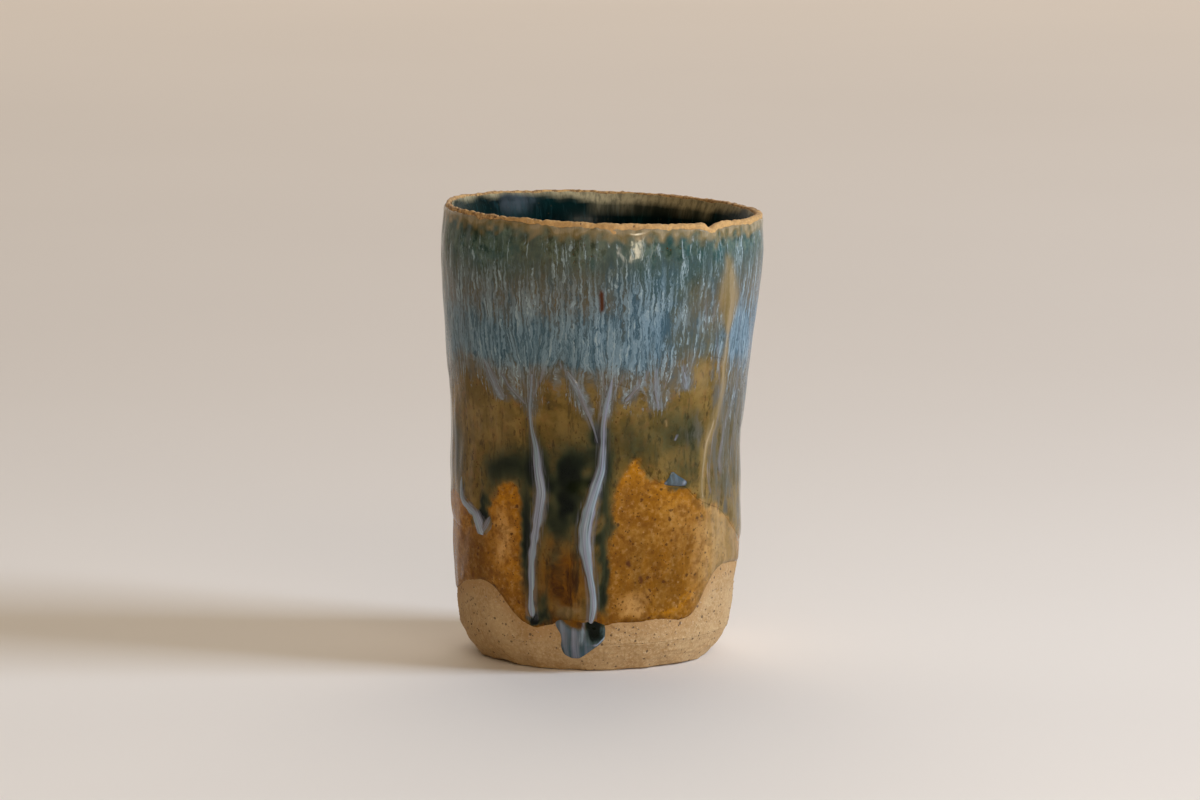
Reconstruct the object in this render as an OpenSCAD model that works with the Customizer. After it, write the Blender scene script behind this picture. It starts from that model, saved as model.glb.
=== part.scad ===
// Hand-built stoneware tea cup without a handle. A slab of clay is rolled into the wall and
// lapped over itself at a seam, the wall stands on a bevelled floor slab, and a coil seals the
// inside corner. Glaze lies on the clay in coats, which run down the front before they set.
// Millimetres, +Z up. The origin is on the table, under the middle of the foot. The front faces -Y.
// Angles go round the cup from +X, the cup's right, through +Y, its back.

/* [Form] */
// Mean height of the rim above the table
cup_h = 96; // [84:1:110]
// Outer radius of the clay at the rim
rim_r = 33.9; // [32:0.1:38]
// Outer radius of the clay in the straight middle
belly_r = 30.35; // [29:0.05:32]
// Height at which the middle starts to flare out to the rim
flare_z = 43; // [34:1:50]
// Height at which the rising foot reaches the radius of the middle
hip_z = 25; // [18:1:32]
// Outer radius on top of the foot bevel
foot_r = 28.9; // [27.5:0.1:31]
// Radius of the flat that stands on the table
base_r = 24.8; // [21:0.1:27]
// Sideways lean of the rim over the foot
lean = 1.9; // [0:0.1:3]
// Rise of the rim's high side above its mean height
rim_tilt = 1.3; // [0:0.1:2.5]
// Unevenness that forming by hand leaves in the wall
wobble = 0.3; // [0:0.05:0.6]

/* [Clay] */
// Thickness of the floor slab, which is also the height of the foot bevel
floor_t = 6.2; // [5:0.1:8]
// Thickness of the wall slab
wall_t = 4.6; // [3.6:0.1:5.6]
// Thickness of the wall at the lip
lip_t = 2.4; // [1.8:0.1:3.2]
// Height of the rounding along the lip's two edges
lip_round = 0.7; // [0.3:0.1:1]
// Radius of the fillet that the coil makes in the inside corner
coil_r = 4; // [2.5:0.1:6]

/* [Lapped seam] */
// Rise of the wall where one end of the slab laps over the other
lap_rise = 0.7; // [0:0.1:1.2]
// Length of slab over which the lap thins away
lap_l = 9; // [5:0.5:14]
// Width of the step at the lap's edge
lap_step = 1.6; // [0.8:0.1:3]
// Depth of the groove beside the lap
groove_d = 0.5; // [0:0.1:1]
// Width of that groove
groove_w = 11; // [6:0.5:16]
// Depth of the notch that the lap leaves in the rim
notch_d = 1; // [0:0.1:1.6]
// Width of that notch
notch_w = 5; // [3:0.5:8]
// Swelling of the wall below the seam's lower end
bulge = 0.8; // [0:0.1:1.2]
// Spread of that swelling, up the wall and around it
bulge_l = 11; // [6:0.5:14]

/* [Glaze] */
// Thickness of the amber coat, the first on the outside
amber_t = 0.3; // [0.2:0.05:0.6]
// Thickness of the olive coat, the second on the outside
olive_t = 0.45; // [0.3:0.05:0.8]
// Thickness of the blue coat, the third on the outside
blue_t = 0.2; // [0.15:0.05:0.5]
// Thickness of the liner, the coat inside the cup
liner_t = 0.5; // [0.3:0.05:0.8]
// Height of the lip that the glaze leaves bare
lip_bare = 1.8; // [1.4:0.1:3]
// Height over which a coat swells from its edge to its full thickness
edge_h = 1.2; // [0.8:0.1:1.6]

/* [Runs] */
// Half the width of a long run
run_w = 1.2; // [0.8:0.1:1.6]
// Height of a long run above the coat that it runs over
run_rise = 0.7; // [0.4:0.05:1]
// Length of the branch beside the right run
branch_l = 7.7; // [4:0.1:10]
// Half the width of the short drip on the left
drip_w = 1.5; // [1:0.1:2]
// Length of that drip
drip_l = 5.5; // [3:0.5:8]
// Half the width of the drop that hangs over the foot
drop_w = 4.4; // [3:0.1:5]
// Height of the drop above the clay
drop_rise = 1.1; // [0.6:0.1:1.6]
// Height of the drop's lower end above the table
drop_z = 3.4; // [1.5:0.1:4.5]
// Half the width of a finger of the blue coat's fringe
finger_w = 1.1; // [0.7:0.1:1.5]
// Length of such a finger
finger_l = 6; // [3:0.5:8]
// Half the width of the curl at the edge of the olive coat
curl_w = 2.4; // [1.5:0.1:3]
// Height of that curl along the wall
curl_l = 2.6; // [1.5:0.1:4]
// Clearance between a run and the coat that it lies on
run_gap = 0.06; // [0.05:0.01:0.15]
// Clearance between a run and the edge of the coat that it hangs from
edge_gap = 0.3; // [0.2:0.05:0.6]

/* [Hidden] */

// Columns of points around the cup. They crowd together at the front, where the runs and the seam are
columns = 48;
crowd_angle = 290;
crowd_turn = 20;

// Rows of points in each band of the outside, from the floor to the rim, and on the inside
foot_rows = 2;
amber_rows = 2;
olive_rows = 5;
blue_rows = 4;
inside_rows = 7;
fillet_steps = 3;

// Rows down a long run and down a short one, and steps across either
long_rows = 18;
short_rows = 8;
run_steps = 4;

// Thickness of a coat along its edges, as a share of its full thickness
edge_share = 0.4;
// Places of the lip's two upper corners, as shares of its thickness
lip_corner_shares = [0.3, 0.7];

// High side of the rim
tilt_angle = 205;
// Swells around the wall: how many there are, and where each starts
wobble_waves = [3, 5];
wobble_angles = [40, -20];
wobble_twist = 50;

// Edges of the three outer coats: angle, and height as a share of the cup's height
amber_edge_shares = [[0, 0.2], [40, 0.17], [85, 0.13], [130, 0.16], [165, 0.13], [183, 0.14],
                     [212, 0.185], [225, 0.165], [238, 0.105], [255, 0.098], [285, 0.11],
                     [304, 0.11], [318, 0.14], [330, 0.2]];
olive_edge_shares = [[0, 0.25], [30, 0.33], [62, 0.41], [95, 0.3], [125, 0.37], [150, 0.29],
                     [180, 0.31], [205, 0.3], [218, 0.35], [230, 0.41], [236, 0.34], [240, 0.15],
                     [247, 0.125], [268, 0.125], [274, 0.14], [278, 0.34], [287, 0.475],
                     [302, 0.41], [322, 0.36], [340, 0.31]];
blue_edge_shares = [[0, 0.5], [40, 0.6], [75, 0.66], [110, 0.61], [150, 0.66], [185, 0.62],
                    [212, 0.68], [234, 0.645], [248, 0.665], [262, 0.645], [280, 0.65],
                    [294, 0.635], [308, 0.67], [322, 0.7], [345, 0.52]];

// Line of the seam's edge: share of the cup's height, and angle
seam_shares = [[0.36, 322], [0.43, 319], [0.6, 323], [0.77, 326], [0.9, 320], [0.98, 313]];
// Heights between which the seam fades out, and the height of the swelling below it
seam_low_share = 0.3;
seam_high_share = 0.45;
bulge_share = 0.22;
bulge_angle = 342;

// Paths of the runs: share of the run's length, and angle
middle_path_shares = [[0, 248], [0.2, 246], [0.3, 245.5], [0.47, 247.6], [0.65, 248], [0.77, 246],
                      [0.9, 244], [1, 243]];
right_path_shares = [[0, 276], [0.12, 273.5], [0.22, 271.3], [0.35, 271], [0.55, 269], [0.7, 266.2],
                     [0.78, 265.6], [0.9, 267.8], [1, 268.8]];
branch_path_shares = [[0, 262.5], [0.5, 264.6], [1, 267.2]];
drip_path_shares = [[0, 213], [0.5, 215], [1, 219]];
drop_path_shares = [[0, 264], [1, 260]];
curl_path_shares = [[0, 300], [1, 302]];
finger_angles = [233, 240.5, 291, 296, 305];
finger_length_shares = [1, 0.7, 0.8, 1, 0.6];

// Width of a run along its length: share of the length, and share of the width
long_width_shares = [[0, 0.45], [0.03, 0.75], [0.3, 0.7], [0.6, 1], [0.88, 0.85], [0.96, 1.15],
                     [0.99, 0.8], [1, 0.4]];
short_width_shares = [[0, 0.7], [0.2, 0.85], [0.6, 0.85], [0.8, 1], [0.95, 0.7], [1, 0.35]];
drop_width_shares = [[0, 0.8], [0.1, 1], [0.4, 0.95], [0.7, 0.75], [0.9, 0.5], [1, 0.25]];

// Smooth step from 0 to 1, and a value between two others
function ease(t) = let (c = max(0, min(1, t))) c * c * (3 - 2 * c);
function mix(a, b, t) = a + (b - a) * t;

// Turn from one angle to another, from -180 to 180 degrees
function turn(from, to) = let (d = ((to - from) % 360 + 360) % 360) d > 180 ? d - 360 : d;

// Value at an angle of a table of [angle, value] rows, eased from each row to the next round the cup
function around(table, angle) =
    let (
        a = (angle % 360 + 360) % 360,
        last = len(table) - 1,
        j = max([for (k = [0:last]) if (table[k][0] <= a) k]),
        next = j == last ? [360, table[0][1]] : table[j + 1]
    )
    mix(table[j][1], next[1], ease((a - table[j][0]) / (next[0] - table[j][0])));

// Angle of a column of points
function column(i) = let (even = 360 * i / columns) even - crowd_turn * sin(even - crowd_angle);
column_angles = [for (i = [0:columns - 1]) column(i)];

// Angle that a length spans around the wall
function span(l) = l / belly_r * 180 / PI;

// Distance along the wall from the seam's edge, to the right of it
function past_seam(a, z) = turn(lookup(z / cup_h, seam_shares), a) * PI / 180 * belly_r;

// Outer radius of a cup with no unevenness, at a height
function profile(z) =
    z < floor_t ? mix(base_r, foot_r, z / floor_t)
    : z < hip_z ? mix(foot_r, belly_r, sin(90 * (z - floor_t) / (hip_z - floor_t)))
    : mix(belly_r, rim_r, ease((z - flare_z) / (cup_h - flare_z)));

// Unevenness of the wall, none where it stands on the round floor slab
function uneven(a, z) =
    wobble / 2 * ease((z - floor_t) / (hip_z - floor_t))
    * (cos(wobble_waves[0] * a + wobble_angles[0] + wobble_twist * z / cup_h)
       + cos(wobble_waves[1] * a + wobble_angles[1]));

// The lap rises to its edge, steps down into the groove, and the groove runs out
function seam_shape(a, z) =
    let (d = past_seam(a, z))
    d < 0 ? lap_rise * ease(1 + d / lap_l)
    : d < lap_step ? mix(lap_rise, -groove_d, ease(d / lap_step))
    : -groove_d * ease(1 - (d - lap_step) / groove_w);
function seam_fade(z) = ease((z / cup_h - seam_low_share) / (seam_high_share - seam_low_share));
function bulge_shape(a, z) =
    let (
        across = turn(bulge_angle, a) / span(bulge_l),
        up = (z - bulge_share * cup_h) / bulge_l
    )
    bulge * exp(-across * across - up * up) * ease((z - floor_t) / (hip_z - floor_t));

// Outer and inner radius of the clay, and the thickness between them away from the seam
function outer_r(a, z) =
    profile(z) + uneven(a, z) + seam_fade(z) * seam_shape(a, z) + bulge_shape(a, z);
function thickness(z) = mix(wall_t, lip_t, ease((z - flare_z) / (cup_h - flare_z)));
function inner_r(a, z) = profile(z) + uneven(a, z) - thickness(z);
function lean_at(z) = lean * max(0, z - flare_z) / (cup_h - flare_z);

// Point at an angle, radius and height, on the leaning axis
function point(a, r, z) = [lean_at(z) + r * cos(a), r * sin(a), z];

// Heights of the rim and of the coats' edges. Each coat keeps clear of the edge of the one below it
function rim_z(a) =
    cup_h + rim_tilt * cos(a - tilt_angle)
    - notch_d * ease(1 - abs(past_seam(a, cup_h)) * 2 / notch_w);
function amber_z(a) = max(floor_t + 2 * edge_h, around(amber_edge_shares, a) * cup_h);
function olive_z(a) = max(amber_z(a) + 2 * edge_h, around(olive_edge_shares, a) * cup_h);
function blue_z(a) = max(olive_z(a) + 3 * edge_h, around(blue_edge_shares, a) * cup_h);
function bare_z(a) = rim_z(a) - lip_bare;

// Heights from one edge to the next: the edge, the end of its swell, then even steps short of the next edge
function band(low, high, rows) =
    [low, for (k = [0:rows - 1]) mix(low + edge_h, high, k / rows)];

// Heights of the outside's rows at an angle, and the rows that the edges of the coats are on
function outer_rows(a) = [
    for (k = [0:foot_rows - 1]) mix(floor_t, amber_z(a), k / foot_rows),
    each band(amber_z(a), olive_z(a), amber_rows),
    each band(olive_z(a), blue_z(a), olive_rows),
    each band(blue_z(a), bare_z(a) - edge_h, blue_rows),
    bare_z(a) - edge_h, bare_z(a), rim_z(a) - lip_round
];
amber_row = foot_rows;
olive_row = amber_row + amber_rows + 1;
blue_row = olive_row + olive_rows + 1;
bare_row = blue_row + blue_rows + 2;
rim_row = bare_row + 1;

// Heights of the inside's rows at an angle, from the rim down to the top of the coil's fillet
function inner_rows(a) = [
    rim_z(a) - lip_round, bare_z(a),
    for (k = [0:inside_rows]) mix(bare_z(a) - edge_h, floor_t + coil_r, k / inside_rows)
];

// Thickness of a coat at a row of the outside, from the coat's own lower edge to the bare lip
function coat_t(full, row, low_row) =
    row < low_row ? 0
    : row == low_row || row == bare_row ? full * edge_share : full;
function amber_top(row) = coat_t(amber_t, row, amber_row);
function olive_top(row) = amber_top(row) + coat_t(olive_t, row, olive_row);
function blue_top(row) = olive_top(row) + coat_t(blue_t, row, blue_row);

// Rings of points around the cup: a row of the outside raised by a coat, and a row of the inside
function outer_ring(row, raised = 0) =
    [for (a = column_angles) let (z = outer_rows(a)[row]) point(a, outer_r(a, z) + raised, z)];
function inner_ring(row, sunk = 0) =
    [for (a = column_angles) let (z = inner_rows(a)[row]) point(a, inner_r(a, z) - sunk, z)];
function lip_ring(share) =
    [for (a = column_angles) let (z = rim_z(a)) point(a, outer_r(a, z) - share * lip_t, z)];
function corner_ring() = [for (a = column_angles) point(a, inner_r(a, floor_t), floor_t)];

// Ring on the corner's fillet, from the wall at step 0 to the floor at the last step. The fillet curves
// between the two and never passes the corner, however much the wall leans there
function fillet_ring(step, sunk = 0) =
    [for (a = column_angles)
        let (
            t = step / fillet_steps,
            from_wall = (1 - t) * (1 - t),
            corner = inner_r(a, floor_t),
            r = corner + from_wall * (inner_r(a, floor_t + coil_r) - corner) - t * t * coil_r,
            z = floor_t + from_wall * coil_r
        )
        point(a, r - sunk * cos(90 * t), z + sunk * sin(90 * t))];

// Solid between rings of points. A closed one joins its last ring to its first, an open one is capped.
// Diagonals lean the same way whether the rings go up or down, so layers that touch share their facets
module loft(rings, closed) {
    n = len(rings[0]);
    m = len(rings);
    sides = [
        for (j = [0:m - (closed ? 1 : 2)], i = [0:n - 1])
            let (
                k = (i + 1) % n,
                up = (j + 1) % m,
                a = j * n + i,
                b = j * n + k,
                c = up * n + k,
                d = up * n + i
            )
            each (i % 2 == 0) == (rings[j][i].z < rings[up][i].z)
                ? [[a, d, c], [a, c, b]] : [[a, d, b], [b, d, c]]
    ];
    caps = closed ? [] : [[for (i = [0:n - 1]) i], [for (i = [n - 1:-1:0]) (m - 1) * n + i]];
    polyhedron(points = [for (ring = rings) each ring], faces = concat(sides, caps));
}

// Coat of glaze on the outside, between two functions of the row
module outer_coat(low_row, under, over) {
    loft([
        for (row = [low_row:bare_row]) outer_ring(row, under(row)),
        for (row = [bare_row:-1:low_row]) outer_ring(row, over(row))
    ], closed = true);
}

// Run of glaze down the outside, thick along its middle and thin at its sides.
// Its rows are closer together towards both ends
module run(top, bottom, path, width, width_shares, rise, bed, rows = short_rows) {
    loft([
        for (k = [0:rows])
            let (
                t = (k / rows + ease(k / rows)) / 2,
                z = mix(top, bottom, t),
                half = width * lookup(t, width_shares),
                middle = lookup(t, path),
                under = bed + run_gap
            )
            [
                for (s = [0:run_steps])
                    let (u = 2 * s / run_steps - 1, a = middle + u * span(half))
                    point(a, outer_r(a, z) + under + rise * half / width * (1 - u * u), z),
                for (s = [run_steps - 1:-1:1])
                    let (u = 2 * s / run_steps - 1, a = middle + u * span(half))
                    point(a, outer_r(a, z) + under, z)
            ]
    ], closed = false);
}

// Slab rolled into the wall, lapped at the seam and thinned to the lip
module wall_slab() {
    color("#b4946a")
        loft([
            for (row = [0:rim_row]) outer_ring(row),
            for (share = lip_corner_shares) lip_ring(share),
            for (row = [0:inside_rows + 2]) inner_ring(row),
            corner_ring()
        ], closed = true);
}

// Round slab that the wall stands on, bevelled at its edge
module floor_slab() {
    color("#a98860")
        rotate_extrude($fn = columns)
            polygon([[0, 0], [base_r, 0], [foot_r, floor_t], [0, floor_t]]);
}

// Coil of soft clay worked into the corner between the wall and the floor
module corner_coil() {
    color("#9c7c55")
        loft([corner_ring(), for (step = [0:fillet_steps]) fillet_ring(step)], closed = true);
}

// First coat outside: thin, amber, with a wavy dip line above the foot
module amber_coat() {
    color("#8a5f2a")
        outer_coat(amber_row, function (row) 0, function (row) amber_top(row));
}

// Second coat outside: thick and glassy, drawn down in a tongue at the front
module olive_coat() {
    color("#57492a")
        outer_coat(olive_row, function (row) amber_top(row), function (row) olive_top(row));
}

// Third coat outside: blue, over the upper third
module blue_coat() {
    color("#5f7280")
        outer_coat(blue_row, function (row) olive_top(row), function (row) blue_top(row));
}

// Coat inside the cup, over the wall, the fillet and the floor
module liner_coat() {
    top_row = 1;
    color("#12322f")
        loft([
            for (step = [fillet_steps:-1:1]) fillet_ring(step),
            for (row = [inside_rows + 2:-1:top_row]) inner_ring(row),
            inner_ring(top_row, liner_t * edge_share),
            for (row = [top_row + 1:inside_rows + 2]) inner_ring(row, liner_t),
            for (step = [1:fillet_steps]) fillet_ring(step, liner_t)
        ], closed = false);
}

// Highest place for a run that hangs from a coat's edge, at an angle and half a width
function below(edge_z, a, half) =
    min([for (u = [-1:0.5:1]) edge_z(a + u * span(half))]) - edge_gap;
function blue_edge() = function (a) blue_z(a);
function olive_edge() = function (a) olive_z(a);
function amber_edge() = function (a) amber_z(a);

// Top of the olive coat under a run. Between its rows the coat is flat, and stands out from the curve of
// the flare by this much at most
flat_h = cup_h * max([for (row = blue_edge_shares) row[1]]) / olive_rows;
flat_share = flat_h / (cup_h - flare_z);
olive_bed = amber_t + olive_t + abs(rim_r - belly_r) * flat_share * flat_share * 3 / 4;

// Long run over the olive coat, from the blue coat's edge to where the olive coat starts to thin
module long_run(path) {
    end = path[len(path) - 1][1];
    run(below(blue_edge(), path[0][1], run_w), olive_z(end) + 2 * edge_h, path, run_w,
        long_width_shares, run_rise, olive_bed, long_rows);
}

module run_middle() {
    color("#7f8f9c")
        long_run(middle_path_shares);
}

module run_right() {
    color("#8795a0")
        long_run(right_path_shares);
}

// Short run that leans in beside the right one
module run_branch() {
    top = below(blue_edge(), branch_path_shares[0][1], run_w);
    color("#7f8f9c")
        run(top, top - branch_l, branch_path_shares, run_w, short_width_shares, run_rise, olive_bed);
}

// Drip that hangs from the olive coat's edge over the amber one
module drip_left() {
    top = below(olive_edge(), drip_path_shares[0][1], drip_w);
    color("#6f807c")
        run(top, top - drip_l, drip_path_shares, drip_w, short_width_shares, run_rise, amber_t);
}

// Drop that hangs from the amber coat's edge over the bare clay of the foot
module foot_drop() {
    top = below(amber_edge(), drop_path_shares[0][1], drop_w);
    color("#3f5d5a")
        run(top, drop_z, drop_path_shares, drop_w, drop_width_shares, drop_rise, 0, long_rows);
}

// Fingers of blue below the edge of the blue coat
module fringe_fingers() {
    color("#73848f")
        for (k = [0:len(finger_angles) - 1]) {
            a = finger_angles[k];
            top = below(blue_edge(), a, finger_w);
            run(top, top - finger_l * finger_length_shares[k], [[0, a], [1, a]],
                finger_w, short_width_shares, run_rise, olive_bed);
        }
}

// Curl of blue that stopped just above the edge of the olive coat
module edge_curl() {
    bottom = max([for (row = curl_path_shares) olive_z(row[1])]) + 2 * edge_h;
    color("#66789a")
        run(bottom + curl_l, bottom, curl_path_shares, curl_w, short_width_shares, run_rise, olive_bed);
}

wall_slab();
floor_slab();
corner_coil();
amber_coat();
olive_coat();
blue_coat();
liner_coat();
run_middle();
run_right();
run_branch();
drip_left();
foot_drop();
fringe_fingers();
edge_curl();
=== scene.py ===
# %% [markdown]
# # A hand-built tea cup
# This cup is a slab of speckled stoneware that was rolled into a tube, lapped over at one side and set on
# a disc of clay. Three glazes were laid over each other on the outside and ran in the kiln, and a dark one
# lines the inside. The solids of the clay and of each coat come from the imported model. The lesson measures
# them, builds a finer skin on each, and paints the skins with nodes.

# %% Load the frame
import math
import bpy
import numpy as np
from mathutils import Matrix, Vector
from mathutils.bvhtree import BVHTree


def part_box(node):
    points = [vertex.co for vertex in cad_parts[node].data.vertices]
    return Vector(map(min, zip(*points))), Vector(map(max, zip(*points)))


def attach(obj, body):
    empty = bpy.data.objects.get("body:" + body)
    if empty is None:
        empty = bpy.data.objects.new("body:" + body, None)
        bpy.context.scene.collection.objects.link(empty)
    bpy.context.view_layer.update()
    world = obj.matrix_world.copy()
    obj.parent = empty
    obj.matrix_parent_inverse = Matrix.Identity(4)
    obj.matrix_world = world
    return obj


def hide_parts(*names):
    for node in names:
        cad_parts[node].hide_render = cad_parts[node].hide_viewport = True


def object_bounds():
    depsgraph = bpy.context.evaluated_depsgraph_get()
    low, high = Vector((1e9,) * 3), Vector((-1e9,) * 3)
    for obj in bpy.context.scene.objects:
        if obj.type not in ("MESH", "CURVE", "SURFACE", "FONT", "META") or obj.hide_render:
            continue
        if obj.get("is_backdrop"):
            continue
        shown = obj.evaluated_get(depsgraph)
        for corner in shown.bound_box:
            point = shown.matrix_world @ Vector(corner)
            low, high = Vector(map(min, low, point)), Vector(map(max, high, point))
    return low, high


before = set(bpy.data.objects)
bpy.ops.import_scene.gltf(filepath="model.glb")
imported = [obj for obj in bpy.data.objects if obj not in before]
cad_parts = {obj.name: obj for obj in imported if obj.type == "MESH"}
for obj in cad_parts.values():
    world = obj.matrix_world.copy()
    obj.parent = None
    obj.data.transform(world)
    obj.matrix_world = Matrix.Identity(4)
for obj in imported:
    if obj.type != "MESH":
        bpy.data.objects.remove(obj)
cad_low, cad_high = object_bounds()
scene = bpy.context.scene
MM = 0.001
print("nodes:", ", ".join(sorted(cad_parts)))

# %% [markdown]
# ## Camera
# The picture looks a little down at the cup from well away, so its sides stay nearly parallel. A long lens
# far off gives that. A short lens close by would show more of the mouth and widen the rim.

# %% Camera
LENS, SENSOR = 185.3, 36.0
STAND, TARGET = Vector((0.0, -1.3094, 0.2542)), Vector((0.0012, 0.0, 0.0542))
lens = bpy.data.cameras.new("long_lens")
lens.lens, lens.sensor_width = LENS, SENSOR
camera = bpy.data.objects.new("camera", lens)
scene.collection.objects.link(camera)
aim = TARGET - STAND
camera.location = STAND
camera.rotation_euler = aim.to_track_quat("-Z", "Y").to_euler()
scene.camera = camera
scene.view_settings.view_transform = "Standard"
print("camera looks down by", round(math.degrees(math.asin(-aim.normalized().z)), 2), "degrees")

# %% [markdown]
# ## Measuring the clay
# A place on the wall is given by its turn, in degrees to the right of the front, and its height in
# millimetres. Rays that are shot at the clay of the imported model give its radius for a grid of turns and
# heights. The solids have flat facets, so the grid is blurred a little before it carries the fine skins.

# %% Measure the wall
def surface_of(node):
    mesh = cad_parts[node].data
    return BVHTree.FromPolygons([v.co for v in mesh.vertices], [p.vertices for p in mesh.polygons])

def facing(turn):
    return np.sin(np.radians(turn)), -np.cos(np.radians(turn))

TURN_STEP, LEVEL_STEP, LOWEST, HIGHEST = 1.5, 1.5, 7.0, 93.6
TURN_BLUR, LEVEL_BLUR, PAD = 2.6, 2.2, 6
FAR_OUT = 0.1
turns = np.arange(0, 360, TURN_STEP)
levels = np.arange(LOWEST, HIGHEST, LEVEL_STEP)

def ray_radius(tree, turn, level, from_outside):
    x, y = (float(v) for v in facing(turn))
    start = Vector((x, y, 0)) * (FAR_OUT if from_outside else 0.0) + Vector((0, 0, level * MM))
    hit = tree.ray_cast(start, Vector((-x, -y, 0)) if from_outside else Vector((x, y, 0)))[0]
    return math.hypot(hit.x, hit.y) / MM

print(len(turns), "turns at", len(levels), "levels")

# %% Blur the facets
def blurred_round(grid, reach):
    wave = np.fft.fftfreq(grid.shape[1], d=TURN_STEP)
    soft = np.fft.fft(grid, axis=1) * np.exp(-2 * (np.pi * reach * wave) ** 2)
    return np.fft.ifft(soft, axis=1).real

def blurred(grid):
    soft = blurred_round(grid, TURN_BLUR)
    reach = np.arange(-PAD, PAD + 1)
    weight = np.exp(-0.5 * (reach * LEVEL_STEP / LEVEL_BLUR) ** 2)
    steps = np.diff(soft, axis=0)
    below = soft[0] - steps[0] * np.arange(PAD, 0, -1)[:, None]
    above = soft[-1] + steps[-1] * np.arange(1, PAD + 1)[:, None]
    tall = np.vstack([below, soft, above])
    return sum(w * tall[PAD + r:PAD + r + len(soft)] for r, w in zip(reach, weight)) / weight.sum()

def wall_grid(from_outside):
    return blurred(np.array([[ray_radius(clay, t, z, from_outside) for t in turns] for z in levels]))

clay = surface_of("wall_slab")
outer_grid, inner_grid = wall_grid(True), wall_grid(False)
wall_thick = outer_grid - inner_grid
print("wall is", np.round(wall_thick.min(), 2), "to", np.round(wall_thick.max(), 2), "mm thick")

# %% Read the measured wall at any place
def read_grid(grid, turn, height):
    column = np.mod(turn, 360) / TURN_STEP
    row = np.clip((height - LOWEST) / LEVEL_STEP, 0, len(grid) - 1.001)
    over = (height - LOWEST) / LEVEL_STEP - row
    c, r = np.floor(column).astype(int), np.floor(row).astype(int)
    u, v = column - c, row - r
    c0, c1 = c % grid.shape[1], (c + 1) % grid.shape[1]
    low = grid[r, c0] * (1 - u) + grid[r, c1] * u
    high = grid[r + 1, c0] * (1 - u) + grid[r + 1, c1] * u
    return low * (1 - v) + high * v + over * (high - low)

def outside(turn, height):
    return read_grid(outer_grid, turn, height)

LIP_START, LIP_RISE, LIP_CUT = 88.0, 7.0, 0.65

def inside(turn, height):
    thinning = LIP_CUT * np.clip((height - LIP_START) / LIP_RISE, 0, 1.1) ** 2
    return read_grid(inner_grid, turn, height) + thinning

def place(turn, radius, height):
    x, y = facing(turn)
    return np.stack(np.broadcast_arrays(radius * x, radius * y, height), axis=-1)

WALL_R = 31.0

def on_wall(turn, height):
    return place(turn, WALL_R, height)

def read_round(values, turn):
    return np.interp(np.mod(turn, 360), np.append(turns, 360), np.append(values, values[0]))

print("front is", round(float(outside(0.0, 50.0)), 1), "mm from the axis at a height of 50 mm")

# %% Height of the rim
RIM_LEVEL, TO_LIP_MIDDLE, ABOVE_RIM, RIM_BLUR = 92.0, 1.2, 130.0, 1.6

def rim_hit(turn):
    x, y = (float(v) for v in facing(turn))
    r = (float(outside(turn, RIM_LEVEL)) - TO_LIP_MIDDLE) * MM
    return clay.ray_cast(Vector((x * r, y * r, ABOVE_RIM * MM)), Vector((0, 0, -1)))[0].z / MM

rim_line = blurred_round(np.array([[rim_hit(t) for t in turns]]), RIM_BLUR)[0]
print("rim stands", np.round(rim_line.min(), 1), "to", np.round(rim_line.max(), 1), "mm high")

# %% [markdown]
# ## Lines, swells and edges
# Glaze lines are tables of turn and height, joined by smooth curves round the cup. A swell is a sum of
# plane waves with fixed random directions. It gives soft unevenness that has no seam behind the cup, and
# it comes out the same each time.

# %% Soft steps and smooth lines
def ease(t):
    t = np.clip(t, 0, 1)
    return t * t * (3 - 2 * t)

def between(low, high, x):
    return ease((x - low) / (high - low))

def bump(x, middle, reach):
    return np.exp(-((x - middle) / reach) ** 2)

def softened(values, reach):
    weight = np.hanning(2 * reach + 1)
    return np.convolve(np.pad(values, reach, mode="edge"), weight / weight.sum(), "valid")

def round_line(table):
    knots = np.array(sorted(table), float)
    at = np.concatenate([knots[-2:, 0] - 360, knots[:, 0], knots[:2, 0] + 360])
    value = np.concatenate([knots[-2:, 1], knots[:, 1], knots[:2, 1]])
    slope = np.gradient(value, at)
    def line(turn):
        x = np.mod(np.asarray(turn, float) + 180, 360) - 180
        i = np.clip(np.searchsorted(at, x) - 1, 0, len(at) - 2)
        h = at[i + 1] - at[i]
        t = (x - at[i]) / h
        rise = (value[i + 1] - value[i]) / h
        limit = 2.5 * np.abs(rise)
        s0, s1 = np.clip(slope[i], -limit, limit), np.clip(slope[i + 1], -limit, limit)
        return (value[i] * (1 + 2 * t) * (1 - t) ** 2 + h * s0 * t * (1 - t) ** 2
                + value[i + 1] * t * t * (3 - 2 * t) + h * s1 * t * t * (t - 1))
    return line

print("halfway up, a soft step is", between(0.0, 1.0, 0.5))

# %% Swells and columns
def swell(points, length, seed, waves=26):
    rng = np.random.default_rng(seed)
    way = rng.normal(size=(waves, 3))
    way *= (2 * np.pi / length) * rng.uniform(0.7, 1.4, (waves, 1)) / np.linalg.norm(way, axis=1)[:, None]
    phase = rng.uniform(0, 2 * np.pi, waves)
    total = np.zeros(points.shape[:-1])
    for k, p in zip(way, phase):
        total += np.sin(points @ k + p)
    return total * math.sqrt(2 / waves)

COLUMNS, CROWD = 480, 0.55
even = np.linspace(-np.pi, np.pi, COLUMNS, endpoint=False)
column_turns = np.degrees(even - CROWD * np.sin(even))
print("columns stand", np.round(np.diff(column_turns).min(), 2), "degrees apart at the front")

# %% [markdown]
# ## Closed skins
# A skin is a set of rings round the cup, each with the same columns. The rings run up the outside, over
# the top and down the inside, and the last one joins the first, so the mesh is closed. A disc starts and
# ends in a pole instead. Columns crowd at the front, where the picture looks.

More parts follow.
